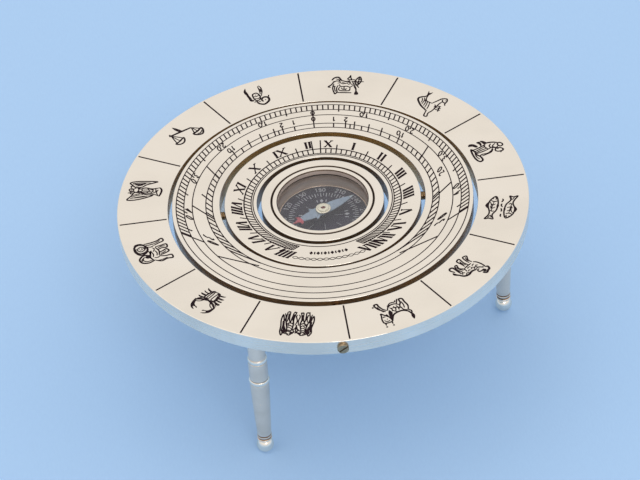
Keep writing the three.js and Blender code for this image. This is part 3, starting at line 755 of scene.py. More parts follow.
        ("l", 0.5, (2.4, 3.6), (9.0, 3.4)),
        ("c", 0.5, (2.0, 4.6), (3.4, 4.8), (4.8, 4.2)),
        ("b", 0, (5.6, -3.8), (4.9, -6.6), (6.0, -7.2), (7.2, -6.6), (6.5, -4.6)),
        ("l", 0.6, (-3.6, -5.8), (3.6, -5.8)),
        ("c", 0.5, (-5.6, 5.0), (-4.0, 4.2), (-3.2, 2.2)),
        ("c", 0.5, (-2.2, 2.8), (-0.6, 1.4), (1.0, 2.6)),
        ("c", 0.45, (-4.6, 1.6), (-2.8, 2.0), (-1.2, 0.9)),
        ("c", 0.5, (-6.8, -0.6), (-6.0, -1.6), (-4.8, -1.2)),
        ("c", 0.45, (4.2, -0.4), (5.4, -2.6), (5.8, -4.2)),
        ("c", 0.45, (1.2, 0.8), (2.4, 1.7), (3.2, 0.6)),
        ("c", 0.45, (-2.2, -2.0), (-0.8, -3.2), (1.2, -2.6)),
        ("c", 0.45, (5.2, 6.2), (6.3, 5.2), (7.2, 6.2)),
        ("c", 0.45, (5.2, 3.0), (6.1, 2.0), (7.0, 3.0)),
        ("b", 0, (0.6, 3.6), (2.0, 3.4), (2.4, 2.0), (1.2, 2.2)),
        ("d", 0.3, (-0.9, 2.0), (1.0, 1.6)),
    ],
}

UNSTEADY = 0.2  # how far, in millimetres, the graver strays from the drawing
FIGURE_WEIGHT = 1.35  # the figures are cut bolder than they are drawn
DOT_SIDES = 10


def figure_strokes(engraving, figure, angle, radius):
    """Draws a figure with its centre at an angle and radius, and its top outwards."""
    cos, sin = math.cos(math.radians(angle)), math.sin(math.radians(angle))

    def to_ring(point):
        x, y = point[0] * MM, radius + point[1] * MM
        return (x * cos + y * sin, y * cos - x * sin)

    hand = random.Random(round(angle))
    sides = [(1, 0)]
    for kind, width, *points in figure:
        if kind == "mirror":
            sides = [(1, width), (-1, width)]
            continue
        for sign, centre in sides:
            drawn = [
                (sign * x + centre + hand.uniform(-UNSTEADY, UNSTEADY), y + hand.uniform(-UNSTEADY, UNSTEADY))
                for x, y in points
            ]
            cut_width = width * FIGURE_WEIGHT * MM
            if kind == "d":
                for x, y in drawn:
                    engraving.blob([
                        to_ring((x + width * math.cos(a), y + width * math.sin(a)))
                        for a in (2 * math.pi * k / DOT_SIDES for k in range(DOT_SIDES))
                    ])
            elif kind == "b":
                engraving.blob([to_ring(p) for p in spline(drawn, steps=4, closed=True)])
            elif kind == "l":
                engraving.stroke([to_ring(p) for p in subdivided(drawn)], cut_width, taper=0.8)
            else:
                closed = kind == "o"
                line = [to_ring(p) for p in spline(drawn, steps=5, closed=closed)]
                engraving.stroke(line, cut_width, closed=closed, taper=0.6)


# ---------------------------------------------------------------- materials


def set_stops(ramp, stops):
    """Gives a colour ramp node its (place, colour) stops."""
    elements = ramp.color_ramp.elements
    while len(elements) < len(stops):
        elements.new(0.5)
    for element, (where, colour) in zip(elements, stops):
        element.position = where
        element.color = (*colour, 1)


class Nodes:
    """A material's node tree, with short calls that add nodes and link them."""

    def __init__(self, name, base, roughness, metallic=0.0):
        self.material = bpy.data.materials.new(name)
        self.material.use_nodes = True
        self.tree = self.material.node_tree
        self.shader = self.tree.nodes["Principled BSDF"]
        self.shader.inputs["Base Color"].default_value = (*base, 1)
        self.shader.inputs["Roughness"].default_value = roughness
        self.shader.inputs["Metallic"].default_value = metallic
        self.place = self.add("ShaderNodeTexCoord").outputs["Object"]

    def add(self, kind, **settings):
        node = self.tree.nodes.new(kind)
        for key, value in settings.items():
            setattr(node, key, value)
        return node

    def put(self, value, socket):
        if isinstance(value, (int, float)):
            socket.default_value = value
        elif isinstance(value, tuple):
            socket.default_value = (*value, 1)
        else:
            self.tree.links.new(value, socket)

    def set(self, socket, value):
        self.put(value, self.shader.inputs[socket])

    def calc(self, operation, *values):
        node = self.add("ShaderNodeMath", operation=operation)
        for socket, value in zip(node.inputs, values):
            self.put(value, socket)
        return node.outputs["Value"]

    def vector(self, x, y=0.0):
        node = self.add("ShaderNodeCombineXYZ")
        for value, socket in zip((x, y), node.inputs):
            self.put(value, socket)
        return node.outputs["Vector"]

    def stretched(self, scale):
        """The object's coordinates, stretched."""
        mapping = self.add("ShaderNodeMapping")
        mapping.inputs["Scale"].default_value = scale
        self.put(self.place, mapping.inputs["Vector"])
        return mapping.outputs["Vector"]

    def noise(self, scale, detail, roughness, vector=None):
        node = self.add("ShaderNodeTexNoise")
        node.inputs["Scale"].default_value = scale
        node.inputs["Detail"].default_value = detail
        node.inputs["Roughness"].default_value = roughness
        self.put(vector or self.place, node.inputs["Vector"])
        return node.outputs["Fac"]

    def ramp(self, source, *stops):
        """A colour ramp from (place, colour) stops."""
        node = self.add("ShaderNodeValToRGB")
        set_stops(node, stops)
        self.put(source, node.inputs["Fac"])
        return node.outputs["Color"]

    def between(self, source, start, end, low, high):
        """Maps source's range from start to end onto low to high."""
        node = self.add("ShaderNodeMapRange")
        for socket, value in zip(("From Min", "From Max", "To Min", "To Max"), (start, end, low, high)):
            node.inputs[socket].default_value = value
        self.put(source, node.inputs["Value"])
        return node.outputs["Result"]

    def mix(self, factor, first, second):
        node = self.add("ShaderNodeMix", data_type="RGBA")
        for value, socket in ((factor, node.inputs[0]), (first, node.inputs[6]), (second, node.inputs[7])):
            self.put(value, socket)
        return node.outputs[2]

    def cylindrical(self, centre=(0, 0)):
        """The distance from an upright axis, and the height."""
        split = self.add("ShaderNodeSeparateXYZ")
        self.put(self.place, split.inputs["Vector"])
        x = self.calc("SUBTRACT", split.outputs["X"], centre[0])
        y = self.calc("SUBTRACT", split.outputs["Y"], centre[1])
        squares = self.calc("ADD", self.calc("MULTIPLY", x, x), self.calc("MULTIPLY", y, y))
        return self.calc("SQRT", squares), split.outputs["Z"]

    def bump(self, heights, distance, strength):
        node = self.add("ShaderNodeBump")
        node.inputs["Distance"].default_value = distance
        node.inputs["Strength"].default_value = strength
        self.put(heights, node.inputs["Height"])
        self.put(node.outputs["Normal"], self.shader.inputs["Normal"])


BRASS = (0.945, 0.865, 0.755)


def shade(colour, factor):
    return tuple(c * factor for c in colour)


def polished_brass():
    """Mirror-polished brass sheet: a light handling haze, polishing arcs and hairline scratches."""
    m = Nodes("polished_brass", BRASS, 0.08, 1.0)
    cloudy = m.noise(28, 3, 0.5, m.stretched((1, 1.3, 1)))
    m.set("Base Color", m.ramp(
        cloudy, (0.32, shade(BRASS, 0.955)), (0.52, BRASS), (0.72, (0.955, 0.88, 0.78)),
    ))
    scratches = m.noise(1.0, 2, 0.5, m.stretched((2600, 90, 900)))
    streaks = m.between(scratches, 0.66, 0.72, 0.0, 0.07)
    haze = m.between(cloudy, 0.3, 0.75, 0.05, 0.12)
    m.set("Roughness", m.calc("ADD", haze, streaks))
    radius, _ = m.cylindrical()
    arcs = m.noise(1.0, 4, 0.6, m.vector(m.calc("MULTIPLY", radius, 2400)))
    fine = m.noise(600, 3, 0.6)
    m.bump(m.calc("ADD", m.calc("MULTIPLY", arcs, 0.6), m.calc("MULTIPLY", fine, 0.4)), 0.00001, 0.2)
    return m.material


def rim_brass():
    """The stand ring's edge: satin from the file that followed the lathe, with long streaks round it."""
    base = (0.96, 0.86, 0.74)
    m = Nodes("rim_brass", base, 0.28, 1.0)
    patches = m.noise(26, 4, 0.6)
    _, height = m.cylindrical()
    filed = m.noise(1.0, 3, 0.6, m.vector(m.calc("MULTIPLY", height, 1500), m.calc("MULTIPLY", patches, 2)))
    m.set("Base Color", m.ramp(patches, (0.3, shade(base, 0.9)), (0.5, base), (0.7, (0.99, 0.93, 0.84))))
    m.set("Roughness", m.between(m.calc("ADD", patches, filed), 0.8, 1.25, 0.16, 0.44))
    m.bump(filed, 0.00002, 0.3)
    return m.material


def wall_brass(name, base):
    """The walls inside the gaps: turned brass that the polishing wheel never reached, in a darkened brown
    that is painted shade for the gaps, joints and grooves it is used in, mottled at random.
    """
    m = Nodes(name, base, 0.34, 0.75)
    patches = m.noise(90, 5, 0.65)
    m.set("Base Color", m.ramp(patches, (0.3, shade(base, 0.66)), (0.55, base), (0.78, shade(base, 1.25))))
    m.set("Roughness", m.between(patches, 0.25, 0.8, 0.46, 0.24))
    _, height = m.cylindrical()
    rings = m.noise(1.0, 3, 0.6, m.vector(m.calc("MULTIPLY", height, 4200)))
    m.bump(rings, 0.00002, 0.35)
    return m.material


def bowl_brass():
    """The bowl's inner wall: matt turned brass, grey-brown, with faint rings round it."""
    base = (0.70, 0.55, 0.46)
    m = Nodes("bowl_brass", base, 0.5, 0.25)
    streaks = m.noise(1.0, 4, 0.6, m.stretched((120, 120, 700)))
    m.set("Base Color", m.ramp(
        streaks, (0.3, shade(base, 0.84)), (0.55, base), (0.8, shade(base, 1.15)),
    ))
    m.set("Roughness", m.between(streaks, 0.3, 0.7, 0.5, 0.34))
    m.bump(streaks, 0.00003, 0.4)
    return m.material


def turned_brass(name, centre=(0, 0), base=(0.96, 0.78, 0.63)):
    """Brass polished in the lathe: fine rings round its axis, and a slight, uneven browning."""
    m = Nodes(name, base, 0.2, 1.0)
    mottle = m.noise(110, 4, 0.55)
    m.set("Base Color", m.ramp(
        mottle, (0.3, shade(base, 0.9)), (0.5, base), (0.75, shade(base, 1.04)),
    ))
    m.set("Roughness", m.between(mottle, 0.3, 0.75, 0.14, 0.3))
    radius, height = m.cylindrical(centre)
    along = m.calc("MULTIPLY", height, 5200)
    across = m.calc("MULTIPLY", radius, 2600)
    rings = m.noise(1.0, 4, 0.6, m.vector(along, across))
    m.bump(rings, 0.000012, 0.3)
    return m.material


def screw_brass(name, base):
    """Plain screws and collars: darker brass with tool marks, and dirt in the low places. The collars' darker
    base is painted shade, for the gaps they sit in.
    """
    m = Nodes(name, base, 0.28, 1.0)
    marks = m.noise(700, 5, 0.65)
    m.set("Base Color", m.ramp(marks, (0.3, shade(base, 0.45)), (0.5, base), (0.8, shade(base, 1.25))))
    m.set("Roughness", m.between(marks, 0.25, 0.75, 0.42, 0.2))
    m.bump(marks, 0.00003, 0.5)
    return m.material


def engraving_fill():
    """Black wax rubbed into the engraving, thin and brownish in places."""
    m = Nodes("engraving_fill", (0.020, 0.010, 0.012), 0.6)
    m.shader.inputs["Specular IOR Level"].default_value = 0.06
    patches = m.noise(420, 5, 0.7)
    m.set("Base Color", m.ramp(
        patches, (0.35, (0.012, 0.006, 0.008)), (0.6, (0.024, 0.011, 0.013)), (0.85, (0.060, 0.032, 0.022)),
    ))
    m.set("Roughness", m.between(patches, 0.3, 0.7, 0.5, 0.68))
    m.bump(patches, 0.00004, 0.6)
    return m.material


def clear_glass():
    m = Nodes("clear_glass", (0.97, 0.985, 0.99), 0.015)
    m.shader.inputs["Transmission Weight"].default_value = 1.0
    m.shader.inputs["IOR"].default_value = 1.48
    m.shader.inputs["Specular IOR Level"].default_value = 0.3
    smears = m.noise(60, 3, 0.5, m.stretched((1, 2.2, 1)))
    m.set("Roughness", m.between(smears, 0.45, 0.75, 0.01, 0.05))
    return m.material


def black_card():
    base = (0.036, 0.025, 0.062)
    m = Nodes("black_card", base, 0.6)
    fibres = m.noise(900, 4, 0.6)
    m.set("Base Color", m.ramp(
        fibres, (0.3, (0.024, 0.017, 0.046)), (0.55, base), (0.8, (0.060, 0.046, 0.098)),
    ))
    m.set("Roughness", m.between(fibres, 0.3, 0.7, 0.5, 0.75))
    m.bump(fibres, 0.00003, 0.5)
    return m.material


def card_print():
    base = (0.62, 0.62, 0.66)
    m = Nodes("card_print", base, 0.6)
    worn = m.noise(1400, 4, 0.65)
    m.set("Base Color", m.ramp(worn, (0.36, (0.30, 0.30, 0.36)), (0.5, base), (0.8, (0.75, 0.75, 0.78))))
    m.set("Roughness", m.between(worn, 0.3, 0.7, 0.5, 0.7))
    return m.material


def gasket_rubber():
    base = (0.022, 0.02, 0.019)
    m = Nodes("gasket_rubber", base, 0.7)
    grain = m.noise(1500, 3, 0.5)
    m.set("Base Color", m.ramp(grain, (0.3, shade(base, 0.7)), (0.7, shade(base, 1.6))))
    m.set("Roughness", m.between(grain, 0.3, 0.7, 0.6, 0.8))
    m.bump(grain, 0.00002, 0.5)
    return m.material


def lacquer(name, base):
    """Lacquer on the steel needle, a little uneven."""
    roughness = 0.3
    m = Nodes(name, base, roughness, 0.25)
    pooled = m.noise(500, 4, 0.55)
    m.set("Base Color", m.ramp(pooled, (0.3, shade(base, 0.82)), (0.5, base), (0.75, shade(base, 1.1))))
    m.set("Roughness", m.between(pooled, 0.3, 0.7, roughness * 0.8, roughness * 1.3))
    m.bump(pooled, 0.00002, 0.3)
    return m.material


def polished_steel():
    base = (0.58, 0.58, 0.59)
    m = Nodes("polished_steel", base, 0.2, 1.0)
    grain = m.noise(1.0, 3, 0.5, m.stretched((800, 800, 9000)))
    m.set("Base Color", m.ramp(grain, (0.3, shade(base, 0.8)), (0.7, shade(base, 1.1))))
    m.set("Roughness", m.between(grain, 0.3, 0.7, 0.15, 0.3))
    return m.material


def ruby():
    base = (0.20, 0.035, 0.022)
    m = Nodes("ruby", base, 0.08)
    m.shader.inputs["Coat Weight"].default_value = 0.6
    clouds = m.noise(900, 4, 0.6)
    m.set("Base Color", m.ramp(clouds, (0.3, (0.10, 0.018, 0.012)), (0.6, base), (0.8, (0.34, 0.09, 0.05))))
    m.set("Roughness", m.between(clouds, 0.3, 0.7, 0.05, 0.14))
    return m.material


POLISHED = polished_brass()
RIM = rim_brass()
# The wall browns are painted shade: the walls in the gaps between the rings and round the bowl are darkened
# to stand in for the shade there.
SHADED_INNER_WALL = wall_brass("inner_wall_painted_shade_brass", (0.70, 0.41, 0.13))
SHADED_OUTER_WALL = wall_brass("outer_wall_painted_shade_brass", (0.30, 0.18, 0.09))
# The joint brass is painted shade: near black, for the shade in the joint between the bowl and the bezel and
# round the bezel's opening.
JOINT_SHADE = wall_brass("joint_painted_shade_brass", (0.10, 0.06, 0.035))
BOWL_WALL = bowl_brass()
SCREW = screw_brass("screw_brass", (0.40, 0.31, 0.20))
# The collars' base is darkened further: painted shade for the gaps they sit in.
SHADED_COLLAR = screw_brass("collar_painted_shade_brass", (0.26, 0.18, 0.10))
FILL = engraving_fill()
CARD = black_card()
PRINT = card_print()

# ---------------------------------------------------------------- the four flat members

# A ring's material numbers: its polished faces, its inner and outer walls, and the stand ring's outer edge.
POLISHED_BAND, INNER_BAND, OUTER_BAND, RIM_BAND = range(4)


def ring_piece(name, node, outer, inner, body, outer_band, inner_wall, cutters, set_back=0.0):
    """One flat ring, with its outer wall's material number and its inner wall's material."""
    def wall(radius, height):
        upright = abs(height - PIVOT_Z) < HALF - EDGE
        if upright and radius < inner + INNER_EDGE / 2:
            return INNER_BAND
        if upright and radius > outer - EDGE / 2:
            return outer_band
        return POLISHED_BAND

    profile = rounded(
        [(inner, UNDER), (outer, UNDER), (outer, TOP), (inner, TOP)], [INNER_EDGE, EDGE, EDGE, INNER_EDGE],
    )
    where = Matrix.Translation((0, set_back, 0))
    # The rings' inner and outer walls take the darkened wall brass: painted shade for the gaps between the
    # rings.
    obj = turned(name, profile, ROUND, [POLISHED, inner_wall, SHADED_OUTER_WALL, RIM], wall, where)
    cut(obj, cutters)
    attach(obj, body)
    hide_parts(node)


def bores(radius_from, radius_to, angles, set_back=0.0):
    return [
        place(bar(BORE_RADIUS, radius_from, radius_to), about_pivots(angle, set_back)) for angle in angles
    ]


LEGS = ("leg_right", "leg_back", "leg_front")
leg_axes = {}
for leg in LEGS:
    leg_low, leg_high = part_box(leg)
    leg_axes[leg] = ((leg_low.x + leg_high.x) / 2, (leg_low.y + leg_high.y) / 2)

stud_holes = []
for x, y in leg_axes.values():
    hole = bar(STUD_HOLE_RADIUS, -2 * MM, STUD_HOLE_DEPTH)
    upright = Matrix.Translation((x, y, UNDER)) @ Matrix.Rotation(-math.pi / 2, 4, "Y")
    stud_holes.append(place(hole, upright))

PAST = 3 * MM  # how far a cutter reaches past a wall
ring_piece(
    "zodiac_ring_polished", "zodiac_ring", ZODIAC_OUTER, ZODIAC_INNER, "stand", RIM_BAND, SHADED_INNER_WALL,
    bores(ZODIAC_INNER - PAST, ZODIAC_OUTER + PAST, (90, -90)) + stud_holes,
)
ring_piece(
    "scale_ring_polished", "scale_ring", SCALE_OUTER, SCALE_INNER, "scale_gimbal", OUTER_BAND, SHADED_INNER_WALL,
    bores(SCALE_INNER - PAST, SCALE_OUTER + PAST, (0, 180))
    + bores(SCALE_OUTER - BORE_DEPTH, SCALE_OUTER + PAST, (90, -90), SET_BACK),
    SET_BACK,
)
ring_piece(
    "hour_ring_polished", "hour_ring", HOUR_OUTER, HOUR_INNER, "hour_gimbal", OUTER_BAND, SHADED_OUTER_WALL,
    bores(HOUR_INNER - PAST, HOUR_OUTER + PAST, (90, -90))
    + bores(HOUR_OUTER - BORE_DEPTH, HOUR_OUTER + PAST, (0, 180)),
)

# ---------------------------------------------------------------- compass bowl and what is in it

bowl_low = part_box("compass_bowl")[0]
card_low, card_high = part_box("dial_card")
glass_low, glass_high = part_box("glass_window")
gasket_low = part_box("glass_gasket")[0]
bezel_low, bezel_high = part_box("bezel_ring")
CLEARANCE = 0.06 * MM  # between pieces that lie on each other
POT_RADIUS = 25.4 * MM
BORE = 22.8 * MM
BOWL_FLOOR = card_low.z - CLEARANCE
LEDGE = gasket_low.z - CLEARANCE
JOINT_EDGE = 0.42 * MM  # the rounds on both sides of the joint between the bowl and the bezel
JOINT_DEPTH = 0.006 * MM  # below this the joint is dark


def compass_bowl():
    corners = [
        (0, bowl_low.z), (POT_RADIUS, bowl_low.z), (POT_RADIUS, UNDER), (BOWL_OUTER, UNDER),
        (BOWL_OUTER, TOP), (POT_RADIUS, TOP), (POT_RADIUS, LEDGE), (BORE, LEDGE), (BORE, BOWL_FLOOR),
        (0, BOWL_FLOOR),
    ]
    radii = [0, 1.3 * MM, 0.6 * MM, EDGE, EDGE, JOINT_EDGE, 0, FINE_EDGE, 0.3 * MM, 0]
    polished, outer_wall, inside, joint = range(4)

    def wall(radius, height):
        # The joint's rounds take the near-black joint brass: painted shade in the joint.
        if abs(radius - POT_RADIUS) < JOINT_EDGE and LEDGE < height < TOP - JOINT_DEPTH:
            return joint
        if radius < BORE + FINE_EDGE and BOWL_FLOOR - FINE_EDGE < height < LEDGE + FINE_EDGE:
            return inside
        # The bowl's outer wall takes the darkened wall brass: painted shade for the gap round the bowl.
        if radius > BOWL_OUTER - EDGE / 2 and abs(height - PIVOT_Z) < HALF - EDGE:
            return outer_wall
        return polished

    profile = rounded(corners, radii, closed=False)
    obj = turned("compass_bowl_turned", profile, ROUND, [POLISHED, SHADED_OUTER_WALL, BOWL_WALL, JOINT_SHADE], wall)
    cut(obj, bores(BOWL_OUTER - BOWL_BORE_DEPTH, BOWL_OUTER + PAST, (90, -90)))
    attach(obj, "compass")
    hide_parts("compass_bowl")


def plain_ring(name, node, inner, edge, material, body):
    """A small ring that keeps its CAD node's size, with rounded edges."""
    low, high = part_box(node)
    corners = [(inner, low.z), (high.x, low.z), (high.x, high.z), (inner, high.z)]
    obj = turned(name, rounded(corners, edge), ROUND, [material])
    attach(obj, body)
    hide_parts(node)


BEZEL_INNER = 22.35 * MM
BEZEL_LIP = 0.45 * MM


def bezel():
    """The threaded ring over the glass, with a small bevel round its opening."""
    low, high = bezel_low.z, bezel_high.z
    outer = bezel_high.x
    corners = [
        (BEZEL_INNER, low), (outer, low), (outer, high), (BEZEL_INNER + BEZEL_LIP, high),
        (BEZEL_INNER, high - BEZEL_LIP),
    ]
    radii = [FINE_EDGE, FINE_EDGE, JOINT_EDGE, 0.12 * MM, 0.12 * MM]
    polished, inside, painted_shade_band = range(3)

    def wall(radius, height):
        # The rounds at the joint and the bevel round the opening take the near-black joint brass: painted
        # shade.
        if radius > outer - JOINT_EDGE and height < high - JOINT_DEPTH:
            return painted_shade_band
        if radius < BEZEL_INNER + FINE_EDGE / 2 and height < high - BEZEL_LIP - FINE_EDGE:
            return inside
        return painted_shade_band if radius < BEZEL_INNER + BEZEL_LIP - FINE_EDGE / 2 else polished

    obj = turned("bezel_ring_turned", rounded(corners, radii), ROUND, [POLISHED, BOWL_WALL, JOINT_SHADE], wall)
    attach(obj, "compass")
    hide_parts("bezel_ring")


GLASS_EDGE = 0.15 * MM


def window():
    corners = [(0, glass_low.z), (glass_high.x, glass_low.z), (glass_high.x, glass_high.z), (0, glass_high.z)]
    profile = rounded(corners, [0, GLASS_EDGE, GLASS_EDGE, 0], closed=False)
    obj = turned("glass_window_clear", profile, ROUND, [clear_glass()])
    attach(obj, "compass")
    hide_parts("glass_window")


CARD_HOLE = 0.9 * MM
DEGREE_OUTER = 17.4 * MM
TALL_DEGREE = (14.6 * MM, 0.42 * MM)  # where the tens' and the fives' marks start, and how wide they are
SHORT_DEGREE = (15.5 * MM, 0.32 * MM)
CARD_FIGURE_RADIUS = 19.7 * MM
CARD_FIGURE_HEIGHT = 2.5 * MM
CARD_LINE = 0.4 * MM


def dial_card():
    plain_ring("dial_card_paper", "dial_card", CARD_HOLE, 0.05 * MM, CARD, "compass")


def dial_print():
    """Degree marks round the card, a numeral every thirty degrees, and a four-point mark in the middle."""
    ink = Engraving(card_high.z)
    for degree in range(0, 360, 5):
        start, width = SHORT_DEGREE if degree % 10 else TALL_DEGREE
        ink.stroke([polar(start, degree), polar(DEGREE_OUTER, degree)], width)
    for degree in range(0, 360, 30):
        for line in number_strokes(str((degree + 180) % 360)):
            points = []
            for x, y in subdivided(line):
                lean = math.degrees(x * CARD_FIGURE_HEIGHT / CARD_FIGURE_RADIUS)
                points.append(polar(CARD_FIGURE_RADIUS + (y - 0.5) * CARD_FIGURE_HEIGHT, degree + lean))
            ink.stroke(points, CARD_LINE)
    for quarter in range(4):
        angle = 90 * quarter
        diamond(ink, 11.6 * MM, angle, 2.8 * MM, 1.9 * MM)
        for lean in (-11, 11):
            ink.stroke([polar(10.7 * MM, angle + lean), polar(12.5 * MM, angle + lean)], 0.5 * MM)
        ink.stroke([polar(5.5 * MM, angle), polar(9.4 * MM, angle)], 0.42 * MM, taper=0.4)
        ink.stroke([polar(8.2 * MM, angle + 45), polar(11.6 * MM, angle + 45)], CARD_LINE, taper=0.4)
    obj = ink.piece("dial_card_print", PRINT, "compass")


CARD_RING_INNER = 21.75 * MM
GASKET_INNER = 23.2 * MM


def card_ring():
    brass = turned_brass("card_ring_brass", base=(0.86, 0.68, 0.54))
    plain_ring("card_ring_turned", "card_ring", CARD_RING_INNER, 0.2 * MM, brass, "compass")


def gasket():
    plain_ring(
        "glass_gasket_rubber", "glass_gasket", GASKET_INNER, 0.12 * MM, gasket_rubber(), "compass",
    )


compass_bowl()
bezel()
window()
dial_card()
dial_print()
card_ring()
gasket()

# ---------------------------------------------------------------- needle

needle_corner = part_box("needle")[1]
NEEDLE_ANGLE = math.atan2(needle_corner.y, needle_corner.x)
NEEDLE_LENGTH = 18 * MM
needle_low, needle_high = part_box("needle")[0].z, needle_corner.z
NEEDLE_HALF_WIDTH = 3.3 * MM
NEEDLE_BLUNT = 0.12 * MM
WHITE_FROM, RED_FROM = 0.86, -0.7  # where the blade's colours change, as shares of its half-length
BLUE, WHITE, RED = range(3)


def blade_half_width(share):
    """The needle's half-width at a share of its half-length: a broad lance, with a blunt point."""
    return max(NEEDLE_BLUNT, NEEDLE_HALF_WIDTH * (1 - share ** 2))


def needle():
    """A thin lacquered blade: blue in the middle, with a white north tip and a red, barbed south end."""
    blue = lacquer("needle_blue", (0.38, 0.46, 0.58))
    white = lacquer("needle_white", (0.62, 0.67, 0.73))
    red = lacquer("needle_red", (0.66, 0.11, 0.15))
    vertices, faces, numbers = [], [], []
    steps = 36
    bevel = 0.08 * MM
    middle = (needle_low + needle_high) / 2
    sections = []
    for k in range(-steps, steps + 1):
        x = NEEDLE_LENGTH * k / steps
        reach = blade_half_width(abs(k) / steps)
        inset = max(0.02 * MM, reach - bevel)
        outline = [
            (-inset, needle_low), (inset, needle_low), (reach, middle),
            (inset, needle_high), (-inset, needle_high), (-reach, middle),
        ]
        sections.append(len(vertices))
        vertices.extend(Vector((x, y, z)) for y, z in outline)
    for i, (a, b) in enumerate(zip(sections, sections[1:])):
        where = (i + 0.5 - steps) / steps
        number = WHITE if where > WHITE_FROM else RED if where < RED_FROM else BLUE
        for k in range(6):
            j = (k + 1) % 6
            faces.append((a + k, a + j, b + j, b + k))
            numbers.append(number)
    faces.append(tuple(reversed(range(sections[0], sections[0] + 6))))
    faces.append(tuple(range(sections[-1], sections[-1] + 6)))
    numbers += [RED, WHITE]
    barbs = [
        (BLUE, [(-3.6, 2.7), (-5.0, 4.0), (-6.3, 4.3), (-5.9, 3.2), (-6.8, 2.4)]),
        (RED, [(-12.4, 1.4), (-13.3, 2.6), (-14.5, 2.9), (-14.1, 1.7), (-14.8, 0.8)]),
    ]
    for number, outline in barbs:
        for side in (1, -1):
            barb = outline if side > 0 else outline[::-1]
            base = len(vertices)
            count = len(barb)
            for x, y in barb:
                vertices.append(Vector((x * MM, side * y * MM, needle_high - 0.02 * MM)))
                vertices.append(Vector((x * MM, side * y * MM, needle_low + 0.02 * MM)))
            faces.append(tuple(base + 2 * i for i in reversed(range(count))))
            faces.append(tuple(base + 2 * i + 1 for i in range(count)))
            for i in range(count):
                j = (i + 1) % count
                faces.append((base + 2 * i, base + 2 * j, base + 2 * j + 1, base + 2 * i + 1))
            numbers += [number] * (count + 2)
    turn = Matrix.Rotation(NEEDLE_ANGLE, 4, "Z")
    vertices = [turn @ v for v in vertices]
    obj = new_object("needle_blade", vertices, faces, numbers, [blue, white, red], sharp=30)
    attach(obj, "needle_swing")
    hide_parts("needle")


def needle_cap():
    """A stepped hub with a polished round edge to each step, and a jewel in its middle."""
    low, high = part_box("needle_cap")
    shelf = needle_high + CLEARANCE
    step = shelf + 0.8 * MM
    flange = high.x
    boss = 2.9 * MM
    jewel_seat = 1.0 * MM
    corners = [
        (jewel_seat, low.z), (1.5 * MM, low.z), (1.5 * MM, shelf), (flange, shelf), (flange, step),
        (boss, step), (boss, high.z),
        (1.35 * MM, high.z), (jewel_seat, high.z - 0.3 * MM),
    ]
    radii = [0, 0.05 * MM, 0.1 * MM, 0.2 * MM, 0.28 * MM, 0.12 * MM, 0.25 * MM, 0.1 * MM, 0]
    cap = turned(
        "needle_cap_turned", rounded(corners, radii), 96,
        [turned_brass("needle_cap_brass", base=(0.90, 0.82, 0.66))],
    )
    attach(cap, "needle_swing")
    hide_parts("needle_cap")
    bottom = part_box("cap_jewel")[0].z
    radius = 0.97 * MM
    crown = high.z - 0.28 * MM
    dome = 0.24 * MM
    profile = [(0, bottom + 0.35 * MM), (0.45 * MM, bottom), (radius, bottom)]
    profile += [
        (radius * math.cos(a), crown + dome * math.sin(a))
        for a in (math.pi / 2 * k / 6 for k in range(6))
    ]
    profile.append((0, crown + dome))
    jewel = turned("cap_jewel_ruby", profile, 48, [ruby()])
    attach(jewel, "needle_swing")
    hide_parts("cap_jewel")


def pivot_pin():
    low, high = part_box("pivot_pin")
    shoulder = high.z - 1.4 * MM
    corners = [
        (0, low.z), (0.6 * MM, low.z), (0.6 * MM, shoulder), (0.08 * MM, high.z - 0.05 * MM), (0, high.z),
    ]
    profile = rounded(corners, [0, 0.08 * MM, 0.2 * MM, 0.03 * MM, 0], closed=False)
    pin = turned("pivot_pin_steel", profile, 32, [polished_steel()])
    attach(pin, "compass")
    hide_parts("pivot_pin")


needle()
needle_cap()
pivot_pin()

# ---------------------------------------------------------------- pivots

SHANK = 1.5 * MM
HEAD_RADIUS = 2.75 * MM
HEAD_THICKNESS = 1.5 * MM
SLOT_WIDTH = 0.7 * MM
SLOT_DEPTH = 0.8 * MM
SLOT_TILT = 35
TIP_GAP = 0.35 * MM
TIP_CHAMFER = 0.3 * MM


def pivot_screw(name, node, body, tip, outer_end, angle, seat=None):
    """A slotted screw along +X, then turned to its pivot. With a seat it has a cheese head outside it."""
    if seat is None:
        corners = [(0, tip), (SHANK, tip), (SHANK, outer_end), (0, outer_end)]
        radii = [0, TIP_CHAMFER, 0.15 * MM, 0]
    else:
        corners = [
            (0, tip), (SHANK, tip), (SHANK, seat), (HEAD_RADIUS, seat), (HEAD_RADIUS, outer_end),
            (0, outer_end),
        ]
        radii = [0, TIP_CHAMFER, 0.1 * MM, 0.12 * MM, 0.4 * MM, 0]
    obj = turned(name, rounded(corners, radii, closed=False), SMALL_ROUND, [SCREW], matrix=LYING)
    tilt = SLOT_TILT if seat else 0
    cut(obj, [block((2 * SLOT_DEPTH, 4 * HEAD_RADIUS, SLOT_WIDTH), (outer_end, 0, 0), tilt)])
    place(obj, about_pivots(angle))
    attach(obj, body)
    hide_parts(node)


COLLAR_HOLE = 1.6 * MM
COLLAR_RADIUS = 2.1 * MM
COLLAR_WAIST = 1.95 * MM
HALF_WAIST = 0.3 * MM
COLLAR_GAP = 0.15 * MM  # between a collar's ends and the walls


